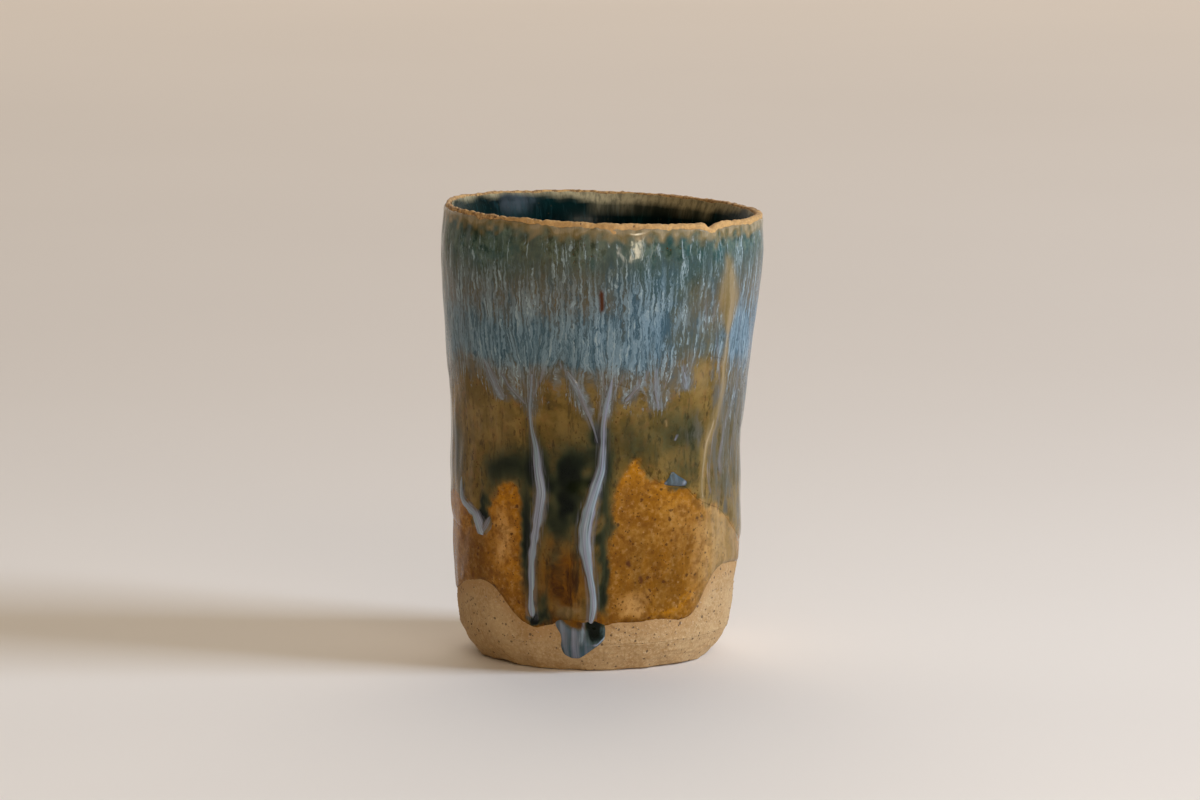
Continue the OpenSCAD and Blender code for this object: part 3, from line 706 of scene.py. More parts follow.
# %% Threads behind the cup
# turn, length, half width of the threads behind, which start above the fringe and lean this way and that
back_threads = [(-158, 9, 0.8), (-149, 4, 0.5), (-133, 6, 0.6), (-117, 12, 0.9), (-108, 5, 0.5),
                (-94, 7, 0.7), (-80, 4, 0.5), (88, 6, 0.6), (99, 4, 0.5), (112, 10, 0.8), (126, 5, 0.5),
                (137, 7, 0.7), (151, 13, 0.9), (166, 5, 0.5), (176, 8, 0.7)]
ABOVE_FRINGE, BACK_STRENGTH = 4.0, 0.62
for turn, drop, half in back_threads:
    start = float(fringe_line(turn)) + ABOVE_FRINGE
    lean = 2.0 * math.sin(turn)
    foot = (turn + 0.6 * lean, start - ABOVE_FRINGE - drop)
    threads.append(("rope_and_glint", half, BACK_STRENGTH, [(turn, start), (turn + lean, start - 0.6 * drop), foot]))
print(len(back_threads), "threads behind")

# %% Patches and blobs as shares
DEGREE = 0.54
SHARES = ("blue", "veil", "rope_and_glint", "pool_and_shade", "thin", "rust", "peach", "warm", "iron", "teal", "tan")

def soft_box(turn, height, left, right, low, high, across, up):
    sides = between(left - across, left + across, turn) * between(right + across, right - across, turn)
    return sides * between(low - up, low + up, height) * between(high + up, high - up, height)

def patched(table, turn, height):
    return sum(row[-1] * soft_box(turn, height, *row[:-1]) for row in table)

def blobbed(table, turn, height):
    total = 0.0
    for middle, level, across, up, strength in table:
        off = ((turn - middle) / across) ** 2 + ((height - level) / up) ** 2
        total = total + strength * np.exp(-off ** 1.3)
    return total

print(len(SHARES), "tones")

# %% Distance to a thread and bend of the flow
def smoothed(values, count, reach):
    return softened(np.interp(np.linspace(0, len(values) - 1, count), np.arange(len(values)), values), reach)

def near_thread(turn, height, points):
    knots = np.array(points, float)
    x = smoothed(knots[:, 0] * DEGREE, 10 * len(knots), 4)
    z = smoothed(knots[:, 1], 10 * len(knots), 4)
    away, along = np.full(turn.shape, 99.0), np.zeros(turn.shape)
    across = np.abs(turn * DEGREE - (x.min() + x.max()) / 2) < np.ptp(x) / 2 + 3
    close = across & (np.abs(height - (z.min() + z.max()) / 2) < np.ptp(z) / 2 + 3)
    a, b = turn[close] * DEGREE, height[close]
    best, part = np.full(a.shape, 99.0), np.zeros(a.shape)
    for i, (x0, z0, dx, dz) in enumerate(zip(x, z, np.diff(x), np.diff(z))):
        s = np.clip(((a - x0) * dx + (b - z0) * dz) / max(dx * dx + dz * dz, 1e-9), 0, 1)
        off = np.hypot(a - x0 - s * dx, b - z0 - s * dz)
        part = np.where(off < best, (i + s) / (len(x) - 1), part)
        best = np.minimum(best, off)
    away[close], along[close] = best, part
    return away, along

def flow_of(turn, height):
    bent = turn.copy()
    for middle, high, low, reach, pull in sinks:
        bent += pull * between(high, low, height) * (turn - middle) * bump(turn, middle, reach)
    return on_wall(bent, height)

print("a degree round the wall is about", DEGREE, "mm")

# %% Shares of the blue tones
def depth_under(line, turn, height, step=0.4):
    slope = (line(turn + step) - line(turn - step)) / (2 * step) / DEGREE
    return (height - line(turn)) / np.sqrt(1 + slope ** 2)

def lap_gap(t, height):
    strip = between(37, 43, t) * between(50, 44, t) * between(76, 71, height)
    beside = 0.7 * bump(t, 36, 10) * between(90, 80, height) * between(58, 66, height)
    return np.maximum(np.maximum(strip, beside), 0.85 * bump(t, 46, 8) * bump(height, 73, 6))

def blue_share(t, z, height):
    dense = np.interp(height, [55, 60, 64, 67, 70, 75, 80, 86, 90, 94],
                      [0.38, 0.58, 0.76, 0.90, 0.98, 0.92, 0.78, 0.64, 0.36, 0.12])
    dense = dense + 0.05 * bump(t, 24, 16) * between(76, 84, height)
    band = between(-10.0, 2.0, z - fringe_line(t)) * dense
    right = 0.13 * between(50, 60, t) * between(104, 84, t) * between(30, 38, z) * between(66, 58, height)
    return np.maximum(band * (1 - 0.7 * lap_gap(t, height)), right)

def veil_share(t, z, height):
    even_blue = np.interp(height, [56, 60, 64, 67, 70, 74, 78, 84, 90],
                          [0.38, 0.48, 0.62, 0.86, 1.00, 0.88, 0.64, 0.46, 0.16])
    even_blue = even_blue + 0.3 * bump(t, 24, 18) * between(70, 76, height) * between(92, 84, height)
    right = (0.25 + 0.30 * between(50, 58, height)) * between(46.5, 54, t) * between(104, 84, t)
    right = right * between(24, 32, z) * between(66, 58, height)
    right = np.maximum(right, 0.32 * bump(t, 42, 5) * bump(height, 51.5, 4.0))
    band = between(-8.0, 5.0, z - fringe_line(t)) * even_blue * (1 - 0.75 * lap_gap(t, height))
    return np.maximum(band, right)

print("blue streaks and the even blue under them thin out at the lap")

# %% Teal, and tones beside the runs
def teal_share(t, z):
    sides = 0.75 + 0.25 * np.maximum(between(-24, -38, t), between(12, 24, t))
    right = 0.75 * bump(t, 24, 16) * bump(z, 81, 8)
    return np.clip(between(78, 90, z) * sides + right + 0.5 * bump(z, 70, 5) * between(64, 70, z), 0, 1)

def beside_runs(turn, height):
    dark, pale, haze = np.zeros(len(turn)), np.zeros(len(turn)), np.zeros(len(turn))
    for table in run_tables.values():
        middle, half, reach = run_at(table, height)
        off = np.maximum(np.abs(turn - middle) * DEGREE - half, 0)
        dark += reach * between(9, 24, height) * between(62, 50, height) * 0.38 * bump(off, 0, 1.5)
        pale = np.maximum(pale, reach * 0.32 * bump(off, 0, 0.8))
        haze = np.maximum(haze, reach * between(53, 58, height) * 0.75 * bump(off, 0, 1.5))
    return dark, pale, haze

print("tones:", ", ".join(SHARES))

# %% Shares of the dark and the cream tones
UPRIGHT = np.array([1, 1, 0.3])

def pool_and_shade_share(turn, height, spot, dark):
    t, z = turn + 0.8 * swell(spot, 9.0, 36), height + 0.4 * swell(spot, 8.0, 37)
    behind = between(52, 84, np.abs(turn)) * between(35, 42, z) * between(56, 47, z)
    cloud = 0.26 + 0.30 * swell(spot * np.array([1, 1, 1.5]), 24.0, 40)
    cloud = cloud + 0.16 * swell(spot * UPRIGHT, 5.0, 43)
    blobs = blobbed(deep_glaze_and_shade_blobs, t + 0.8 * swell(spot, 4.0, 44), z)
    return patched(pools, t, z) + blobs + (dark + behind * np.clip(cloud, 0, 0.55))

def streak_share(turn, height, spot):
    level, middle, half = np.array(lap_streak).T
    off = np.abs(turn - np.interp(height, level, middle)) * DEGREE - np.interp(height, level, half)
    off = off + 0.25 * swell(spot * UPRIGHT, 4.0, 38)
    return 0.85 * between(1.4, -1.2, off) * between(56, 59, height) * between(90, 87, height)

TAPER = 0.22

def lay_threads(tone, turn, height):
    for kind, half, strength, points in threads:
        away, along = near_thread(turn, height, points)
        ends = ease(along / TAPER) * ease((1 - along) / TAPER) if len(points) > 2 else 1.0
        tone[kind] = np.maximum(tone[kind], strength * between(2.2, 0.1, away / half) * ends)

print("threads taper over", round(100 * TAPER), "% of their length at each end")

# %% All shares of a place
def tones_at(turn, height, own=None):
    turn = np.mod(turn + 180, 360) - 180
    spot = on_wall(turn, height)
    t = turn + 0.7 * swell(spot, 7.0, 31) + 0.4 * swell(spot, 2.2, 33)
    z = height + 0.45 * swell(spot, 6.0, 32) + 0.22 * swell(spot, 2.0, 35)
    over, foot = depth_under(olive_line, t, z), z - amber_line(t)
    tone = {name: np.zeros(len(turn)) for name in SHARES}
    left = between(-54.5, -58.0, t) * between(-118, -100, t) * between(36.2, 34.4, z)
    thin = np.maximum(between(1.5, -1.7, over), left) * (1 - np.clip(blobbed(flooded, t, z), 0, 1))
    gold = 0.35 * between(-4.0, -0.5, over) + patched(golds, t, z)
    tone["thin"], tone["rust"] = thin, thin * gold + 0.25 * between(2.2, 0.4, foot)
    tone["warm"] = patched(browns, t, z) + blobbed(brown_blobs, t, z) + 0.4 * between(1.6, 0.2, foot)
    tone["peach"], tone["teal"] = patched(peaches, t, z), teal_share(t, z)
    dark, tone["rope_and_glint"], haze = beside_runs(turn, height)
    tone["pool_and_shade"] = pool_and_shade_share(turn, height, spot, dark) * (1 - 0.92 * thin) + patched(dark_edges_and_shadow, t, z)
    boulder = 0.75 * between(40, 60, t) * between(90, 70, t) * thin
    tone["tan"] = np.maximum(patched(creams, t, z), boulder)
    tone["tan"] = np.maximum(tone["tan"], streak_share(turn, height, spot))
    lay_threads(tone, turn, height)
    clear = 1 - 0.85 * np.clip(tone["tan"], 0, 1)
    lip = np.interp(turn, column_turns, bare_line) - height
    tone["tan"] = np.maximum(tone["tan"], 0.95 * between(3.4, 0.5, lip + 0.6 * swell(spot, 2.4, 39)))
    tone["blue"] = np.maximum(blue_share(t, z, height), haze) * clear
    tone["veil"] = np.maximum(veil_share(t, z, height), 0.7 * haze) * clear * (1 - 0.9 * tone["thin"])
    tone["pool_and_shade"] = tone["pool_and_shade"] * clear
    tone = {name: np.clip(values, 0, 1.2) for name, values in tone.items()}
    tone["flow"] = flow_of(turn, height)
    return {**tone, **(own or {})}

def paint_shares(mesh, turn, height, own=None):
    for name, values in tones_at(turn, height, own).items():
        give(mesh, name, values)

sample = tones_at(np.linspace(-90, 90, 400), np.full(400, 45.0))
print("at mid height", ", ".join(f"{k} {np.mean(sample[k]):.2f}" for k in SHARES))

# %% [markdown]
# ## Glaze material
# One material paints every outside coat, so no border shows where one coat lies on another. It mixes the
# tones by their shares. The rutile streaks are bands of noise that is drawn out along the flow and bent a
# little. Iron specks and pale grog lie in the thin amber, and the blue loses a little gloss where it has
# grown crystals. Each ground of the glaze has its own function.

# %% Streaks that follow the flow
def rutile_lines(paint, flow):
    bend = paint.noise(paint.drawn(flow, 0.6, 0.36), 1.0, 3.0, 0.6, colour=True)
    bend = paint.vector("MULTIPLY", paint.vector("SUBTRACT", bend, (0.5, 0.5, 0.5)), (1.6, 1.6, 3.0))
    bent = paint.moved(flow, bend)
    wide = paint.ramp(paint.noise(paint.drawn(bent, 1.9, 0.085), 1.0, 1.0, 0.5), 0.42, 0.60)
    thin = paint.ramp(paint.noise(paint.drawn(bent, 3.4, 0.14), 1.0, 1.0, 0.5), 0.44, 0.62)
    gate = paint.ramp(paint.noise(paint.drawn(bent, 0.8, 0.13), 1.0, 2.0, 0.5), 0.38, 0.60, 0.50, 1.0)
    hairs = paint.noise(paint.drawn(bent, 3.6, 0.10), 1.0, 3.0, 0.6)
    lines = paint.plus(paint.times(wide, 0.56), paint.times(thin, 0.30))
    lines = paint.plus(paint.times(lines, gate), paint.ramp(hairs, 0.38, 0.66, 0.0, 0.14))
    smear = paint.noise(paint.drawn(bent, 0.6, 0.09), 1.0, 4.0, 0.6)
    return bent, lines, hairs, smear

print("streaks follow the flow attribute")

# %% Grounds of the glaze
def olive_ground(paint, mm, smear, cloud):
    tone = paint.mix(paint.ramp(cloud, 0.40, 0.60), (0.138, 0.088, 0.018), (0.225, 0.144, 0.038))
    patch = paint.ramp(paint.noise(mm, 0.5, 4.0, 0.6), 0.50, 0.66, 0.0, 0.70)
    tone = paint.mix(patch, tone, (0.210, 0.110, 0.030))
    tone = paint.mix(paint.ramp(smear, 0.47, 0.34, 0.0, 0.7), tone, (0.075, 0.050, 0.014))
    fleck = paint.noise(paint.drawn(mm, 1.0, 0.45), 1.0, 3.0, 0.6)
    return paint.mix(paint.ramp(fleck, 0.55, 0.68, 0.0, 0.75), tone, (0.045, 0.026, 0.006))

def teal_ground(paint, mm, smear, cloud):
    blotch = paint.plus(paint.times(smear, 0.45), paint.times(paint.noise(mm, 0.55, 4.0, 0.65), 0.55))
    tone = paint.mix(paint.ramp(blotch, 0.38, 0.60), (0.018, 0.044, 0.036), (0.135, 0.190, 0.145))
    return paint.mix(paint.ramp(cloud, 0.48, 0.64, 0.0, 0.75), tone, (0.028, 0.092, 0.098))

def amber_ground(paint, mm, cloud, rust, peach):
    grit, patch = paint.noise(mm, 0.95, 4.0, 0.62), paint.noise(mm, 0.36, 3.0, 0.6)
    tone = paint.mix(paint.ramp(cloud, 0.38, 0.62), (0.245, 0.098, 0.005), (0.300, 0.136, 0.016))
    tone = paint.mix(rust, tone, (0.44, 0.176, 0.005))
    tone = paint.mix(peach, tone, (0.58, 0.320, 0.100))
    tone = paint.mix(paint.ramp(patch, 0.52, 0.36, 0.0, 0.65), tone, (0.180, 0.068, 0.006))
    tone = paint.mix(paint.ramp(grit, 0.50, 0.68, 0.0, 0.42), tone, (0.48, 0.27, 0.080))
    tone = paint.mix(paint.ramp(grit, 0.49, 0.36, 0.0, 0.50), tone, (0.15, 0.050, 0.004))
    light = paint.ramp(paint.cells(paint.moved(mm, (3.1, 5.7, 1.3)), 0.85), 0.04, 0.20, 0.30, 0.0)
    return paint.mix(paint.times(light, paint.ramp(grit, 0.50, 0.58)), tone, (0.70, 0.48, 0.24))

def iron_specks(paint, mm, thin):
    size = paint.noise(mm, 0.7, 2.0, 0.5)
    large = paint.plus(paint.cells(mm, 0.52), paint.ramp(size, 0.46, 0.60, 0.16, -0.04))
    small = paint.cells(paint.moved(mm, (4.4, 2.2, 7.7)), 1.25)
    small = paint.plus(small, paint.ramp(size, 0.42, 0.58, 0.14, -0.04))
    large, small = paint.ramp(large, 0.10, 0.26, 1.0, 0.0), paint.ramp(small, 0.13, 0.24, 1.0, 0.0)
    cluster = paint.ramp(paint.noise(mm, 0.13, 2.0, 0.5), 0.50, 0.62)
    on_olive = paint.times(small, cluster)
    on_amber = paint.times(paint.math("MAXIMUM", large, small), 0.9)
    return paint.add("ShaderNodeMix", {0: thin, 2: on_olive, 3: on_amber}).outputs[0]

print("three grounds and the iron specks")

# %% Deep glaze and painted shade, veil and streaks
def deep_glaze_and_shade_tones(paint, tone, pool_and_shade, mottle):
    green = paint.mix(paint.ramp(mottle, 0.36, 0.64), (0.014, 0.022, 0.010), (0.046, 0.054, 0.024))
    depth = paint.plus(pool_and_shade, paint.times(paint.centred(mottle), 0.42))
    tone = paint.mix(paint.ramp(depth, 0.04, 0.86), tone, green)
    return paint.mix(paint.ramp(depth, 0.56, 1.05), tone, (0.002, 0.004, 0.0015))

def veil_tones(paint, tone, share, smear, hairs):
    torn = paint.times(paint.centred(smear), paint.ramp(share["veil"], 0.0, 0.25, 0.0, 1.5))
    fray = paint.plus(share["veil"], torn)
    grey = paint.times(paint.ramp(fray, 0.03, 0.42), paint.ramp(hairs, 0.36, 0.6, 0.62, 0.96))
    thin_blue = paint.mix(share["teal"], (0.103, 0.097, 0.074), (0.045, 0.074, 0.070))
    tone = paint.mix(grey, tone, thin_blue)
    wash = paint.times(paint.ramp(fray, 0.42, 1.0), paint.ramp(hairs, 0.34, 0.62, 0.84, 1.0))
    return paint.mix(wash, tone, (0.038, 0.086, 0.120))

def streak_tones(paint, tone, share, lines):
    low = paint.math("SUBTRACT", 0.60, paint.times(share["blue"], 0.62))
    streak = paint.add("ShaderNodeMapRange", {0: lines, 1: low, 2: paint.plus(low, 0.45)}).outputs[0]
    streak = paint.times(streak, paint.ramp(share["blue"], 0.05, 0.3))
    rutile = paint.mix(share["teal"], (0.180, 0.190, 0.180), (0.130, 0.190, 0.195))
    rutile = paint.mix(paint.ramp(share["veil"], 0.3, 0.9), rutile, (0.168, 0.252, 0.305))
    rutile = paint.mix(paint.ramp(lines, 0.62, 0.98), rutile, (0.300, 0.380, 0.400))
    return paint.mix(paint.times(streak, 0.9), tone, rutile), streak

print("deep glaze, veil and streaks lie over the grounds")

# %% Cream and ropes, with the painted glints
def cream_tones(paint, tone, cream, smear, hairs):
    tan = paint.mix(paint.ramp(smear, 0.40, 0.62), (0.200, 0.142, 0.054), (0.300, 0.220, 0.110))
    tan = paint.mix(paint.ramp(cream, 0.85, 1.15), tan, (0.500, 0.430, 0.310))
    solid = paint.times(cream, paint.ramp(hairs, 0.34, 0.6, 0.75, 1.0), clamp=True)
    return paint.mix(solid, tone, tan)

def rope_and_glint_tones(paint, tone, share, flow):
    strands = paint.noise(paint.drawn(flow, 3.0, 0.08), 1.0, 2.0, 0.55)
    lilac = paint.noise(paint.drawn(flow, 1.3, 0.05), 1.0, 1.0, 0.5)
    rope_and_glint = paint.mix(paint.ramp(lilac, 0.42, 0.60), (0.225, 0.298, 0.350), (0.246, 0.256, 0.345))
    rope_and_glint = paint.mix(paint.ramp(share, 0.35, 0.95), (0.215, 0.215, 0.262), rope_and_glint)
    pale = paint.times(paint.ramp(strands, 0.43, 0.72), paint.ramp(share, 0.7, 1.1, 0.10, 1.0))
    rope_and_glint = paint.mix(pale, rope_and_glint, (0.370, 0.450, 0.500))
    rope_and_glint = paint.mix(paint.ramp(strands, 0.45, 0.32), rope_and_glint, (0.130, 0.165, 0.190))
    split = paint.times(paint.centred(strands), paint.ramp(share, 0.0, 0.3, 0.0, 1.1))
    return paint.mix(paint.ramp(paint.plus(share, split), 0.12, 0.95, 0.0, 0.94), tone, rope_and_glint)

print("cream and ropes lie over the streaks")

# %% Glaze material
def glaze_material():
    paint = Paint("running_glaze")
    flow, mm = paint.attribute("flow", vector=True), paint.place()
    share = {name: paint.attribute(name) for name in SHARES}
    bent, lines, hairs, smear = rutile_lines(paint, flow)
    cloud = paint.noise(mm, 0.22, 4.0, 0.6)
    mottle = paint.noise(paint.drawn(bent, 0.9, 0.4), 1.0, 5.0, 0.62)
    grounds = [ground(paint, mm, smear, cloud) for ground in (olive_ground, teal_ground)]
    tone = paint.mix(share["teal"], *grounds)
    rough_edge = paint.times(paint.centred(mottle), paint.ramp(share["tan"], 0.1, 0.6, 0.9, 0.15))
    soft = paint.ramp(paint.plus(share["thin"], rough_edge), 0.22, 0.78)
    tone = paint.mix(soft, tone, amber_ground(paint, mm, cloud, share["rust"], share["peach"]))
    brown = paint.mix(paint.ramp(smear, 0.40, 0.64), (0.036, 0.0115, 0.0004), (0.185, 0.070, 0.002))
    tone = paint.mix(paint.times(share["warm"], 0.92, clamp=True), tone, brown)
    tone = paint.mix(iron_specks(paint, mm, soft), tone, (0.080, 0.030, 0.006))
    tone = deep_glaze_and_shade_tones(paint, tone, share["pool_and_shade"], mottle)
    tone = veil_tones(paint, tone, share, smear, hairs)
    tone, streak = streak_tones(paint, tone, share, lines)
    tone = cream_tones(paint, tone, share["tan"], smear, hairs)
    tone = rope_and_glint_tones(paint, tone, share["rope_and_glint"], flow)
    tone = paint.mix(share["iron"], tone, (0.070, 0.022, 0.008))
    height = paint.plus(paint.times(streak, 0.5), paint.times(mottle, 0.5))
    rough = paint.plus(paint.ramp(streak, 0.0, 1.0, 0.07, 0.22), paint.times(soft, 0.18))
    paint.shader.inputs["Specular IOR Level"].default_value = 0.10
    return paint.finish(tone, rough, height, 0.00005)

outer_glaze = glaze_material()
print("glaze has", len(outer_glaze.node_tree.nodes), "nodes")

# %% [markdown]
# ## The three coats
# Each coat is a closed skin that rests on the one below. It swells from nothing at its lower edge to its full
# thickness within a few millimetres, and rolls over into a round edge below the bare lip. Slow swells
# leave the surface a little uneven, which breaks up the reflections as on the real glaze.

# %% Thickness of the coats
thickness = {"amber": 0.3, "olive": 0.45, "blue": 0.2}
lowest = {"amber": amber_line, "olive": olive_line, "blue": fringe_line}
FADE, EDGE_ROUND, FLOAT = 8.0, 0.7, 0.02
BACK_SINK, COVERED_SINK = 0.06, 0.03

def coat_lift(turn, height, upto):
    top = np.interp(np.mod(turn + 180, 360), column_turns + 180, bare_line)
    spot = on_wall(turn, height)
    lift = np.zeros(np.broadcast(turn, height).shape)
    for name in ("amber", "olive", "blue"):
        reach = 1.0 if name == "amber" else 3.2
        lift += thickness[name] * np.sqrt(ease(depth_under(lowest[name], turn, height, 0.5) / reach))
        if name == upto:
            break
    lift *= (0.25 + 0.75 * ease((top - height) / FADE)) * np.sqrt(np.clip((top - height) / EDGE_ROUND, 0, 1))
    sag = 0.055 * swell(spot, 11.0, 41) + 0.03 * swell(spot * np.array([1, 1, 0.4]), 4.0, 42)
    return lift + FLOAT + sag * np.clip(lift / 0.3, 0, 1)

print("coats are", thickness, "mm thick")

# %% Coat skins
def coat_ring(upto, height, extra=0.0):
    height = np.broadcast_to(height, column_turns.shape)
    radius = outside(column_turns, height) + coat_lift(column_turns, height, upto) + extra
    return place(column_turns, radius, height)

def back_ring(below, height):
    if below is None:
        return place(column_turns, outside(column_turns, height) - FLOAT, height)
    return place(column_turns, np.linalg.norm(coat_ring(below, height, -BACK_SINK)[:, :2], axis=1), height)

def coat_skin(name, below, shown, hidden):
    low = lowest[name](column_turns)
    rise = bare_line - low
    rings = [coat_ring(name, low + rise * s) for s in shown]
    rings += [coat_ring(name, low + rise * s, -COVERED_SINK) for s in hidden]
    rings += [back_ring(below, low + rise * s) for s in np.linspace(1.0, 0.0, 16)]
    mesh = ring_mesh(f"{name}_skin", rings)
    paint_shares(mesh, np.tile(column_turns, len(rings)), np.array(rings)[:, :, 2].ravel())
    return finish_piece(f"{name}_skin", mesh, f"{name}_coat", outer_glaze)

coat_skin("amber", None, np.linspace(0, 0.62, 120), np.linspace(0.66, 1, 10))
coat_skin("olive", "amber", np.linspace(0, 0.72, 150), np.linspace(0.76, 1, 10))
coat_skin("blue", "olive", 1 - np.linspace(1, 0, 120), [])

# %% [markdown]
# ## The runs
# A run is a rope of thick glaze: high in the middle, feathered at its sides, with a bead where it stopped.
# Geometry Nodes sweep a flat bell-shaped section along the path of each run, with the half width and the
# outward direction kept as attributes of the path. Half of each rope sinks into the coat below, as molten
# glass does.

# %% Build a node tree from lists
def build_tree(name, sockets, kinds, settings, values, links):
    tree = bpy.data.node_groups.new(name, "GeometryNodeTree")
    for title, way, kind, value in sockets:
        socket = tree.interface.new_socket(title, in_out=way, socket_type="NodeSocket" + kind)
        if value is not None:
            socket.default_value = value
    nodes = {key: tree.nodes.new(kind) for key, kind in kinds.items()}
    for key, setting, value in settings:
        setattr(nodes[key], setting, value)
    for key, socket, value in values:
        nodes[key].inputs[socket].default_value = value
    for start, out, end, into in links:
        tree.links.new(nodes[start].outputs[out], nodes[end].inputs[into])
    return tree

print("a tree is made from lists of sockets, nodes, settings, values and links")

# %% Run tree
SIDES = 24
run_sockets = [("Path", "INPUT", "Geometry", None), ("Depth share", "INPUT", "Float", 0.4),
               ("Sides", "INPUT", "Int", SIDES), ("Glaze", "INPUT", "Material", None),
               ("Run", "OUTPUT", "Geometry", None)]
run_kinds = {"given": "NodeGroupInput", "made": "NodeGroupOutput", "curve": "GeometryNodeMeshToCurve",
             "turned": "GeometryNodeSetCurveNormal", "outward": "GeometryNodeInputNamedAttribute",
             "half": "GeometryNodeInputNamedAttribute", "circle": "GeometryNodeCurvePrimitiveCircle",
             "kept": "GeometryNodeStoreNamedAttribute", "flat": "GeometryNodeSetPosition",
             "apart": "ShaderNodeSeparateXYZ", "size": "ShaderNodeMath", "bell": "ShaderNodeMath",
             "thick": "ShaderNodeMath", "squeeze": "ShaderNodeCombineXYZ",
             "where": "GeometryNodeInputPosition", "sweep": "GeometryNodeCurveToMesh",
             "smooth": "GeometryNodeSetShadeSmooth", "real": "GeometryNodeRealizeInstances",
             "coat": "GeometryNodeSetMaterial"}
run_settings = [("outward", "data_type", "FLOAT_VECTOR"), ("half", "data_type", "FLOAT"),
                ("turned", "mode", "FREE"), ("size", "operation", "ABSOLUTE"),
                ("bell", "operation", "MULTIPLY"), ("thick", "operation", "MULTIPLY"),
                ("kept", "data_type", "FLOAT_VECTOR"), ("kept", "domain", "POINT")]
run_values = [("outward", "Name", "outward"), ("half", "Name", "half_width"), ("kept", "Name", "round"),
              ("circle", "Radius", 1.0), ("sweep", "Fill Caps", True)]
run_links = [("given", "Path", "curve", 0), ("curve", 0, "turned", "Curve"),
             ("outward", 0, "turned", "Normal"), ("given", "Sides", "circle", "Resolution"),
             ("circle", 0, "kept", "Geometry"), ("where", 0, "kept", "Value"), ("where", 0, "apart", 0),
             ("apart", "X", "size", 0), ("apart", "X", "bell", 0), ("size", 0, "bell", 1),
             ("bell", 0, "thick", 0), ("given", "Depth share", "thick", 1), ("thick", 0, "squeeze", "X"),
             ("apart", "Y", "squeeze", "Y"), ("kept", 0, "flat", "Geometry"),
             ("squeeze", 0, "flat", "Position"), ("turned", 0, "sweep", "Curve"),
             ("flat", 0, "sweep", "Profile Curve"), ("half", 0, "sweep", "Scale"),
             ("sweep", 0, "smooth", 0), ("smooth", 0, "real", 0), ("real", 0, "coat", 0),
             ("given", "Glaze", "coat", "Material"), ("coat", 0, "made", 0)]
glaze_run = build_tree("glaze_run", run_sockets, run_kinds, run_settings, run_values, run_links)
print("run tree has", len(glaze_run.nodes), "nodes")

# %% Sweep a run
def applied(holder, tree, values):
    modifier = holder.modifiers.new("made", "NODES")
    modifier.node_group = tree
    for item in tree.interface.items_tree:
        if item.in_out == "INPUT" and item.name in values:
            modifier[item.identifier] = values[item.name]
    graph = bpy.context.evaluated_depsgraph_get()
    shown = holder.evaluated_get(graph)
    mesh = bpy.data.meshes.new_from_object(shown, preserve_all_data_layers=True, depsgraph=graph)
    bpy.data.objects.remove(holder)
    return mesh

PATH_STEP, LEAST_STEPS, TIP_SHARE, START_SHARE = 0.28, 64, 0.048, 0.1

def run_path(table):
    top, foot = table[0][1], table[-1][1]
    heights = np.linspace(top, foot, max(LEAST_STEPS, int(abs(top - foot) / PATH_STEP)))
    middle, half, _ = run_at(table, heights)
    s = np.linspace(0, 1, len(heights))
    half = half * np.sqrt(np.clip(np.minimum((1 - s) / TIP_SHARE, s / START_SHARE), 0.02, 1))
    half = half * (1 + 0.08 * swell(on_wall(middle, heights), 3.0, 51))
    radius = outside(middle, heights) + coat_lift(middle, heights, "olive")
    return middle, heights, half, radius

def sweep_run(name, table, depth):
    middle, heights, half, radius = run_path(table)
    path = bpy.data.meshes.new(name + "_path")
    points = (place(middle, radius, heights) * MM).tolist()
    path.from_pydata(points, [(i, i + 1) for i in range(len(points) - 1)], [])
    give(path, "half_width", half * MM)
    give(path, "outward", place(middle, 1.0, 0 * heights))
    holder = bpy.data.objects.new(name + "_path", path)
    scene.collection.objects.link(holder)
    return applied(holder, glaze_run, {"Depth share": depth, "Sides": SIDES, "Glaze": outer_glaze})

print("a run has", SIDES, "sides")

# %% Shade and join runs
def shade_run(mesh, seed, glow, solid, dark_tip=0.0):
    points, turn = points_of(mesh)
    height = points[:, 2]
    side = np.array([d.vector for d in mesh.attributes["round"].data])[:, 1]
    half = np.array([d.value for d in mesh.attributes["half_width"].data]) / MM
    core = glow * between(1.0, solid, np.abs(side)) * (0.62 + 0.38 * between(54, 37, height))
    core = np.maximum(core, 0.32) * (1 - 0.85 * between(dark_tip + 0.7, dark_tip - 0.5, height))
    across = side * np.maximum(half, 0.5) * 1.2 + 9.0 * seed
    flow = np.stack([across, np.full(len(half), 5.0 * seed), height], -1)
    paint_shares(mesh, turn, height, {"rope_and_glint": core, "flow": flow, "thin": 0 * core})
    return mesh

def joined(name, meshes):
    holders = [bpy.data.objects.new(name, m) for m in meshes]
    for h in holders:
        scene.collection.objects.link(h)
    first = holders[0]
    with bpy.context.temp_override(active_object=first, selected_editable_objects=holders, object=first):
        bpy.ops.object.join()
    mesh = first.data
    bpy.data.objects.remove(first)
    return mesh

print("runs keep their own flow and rope shares")

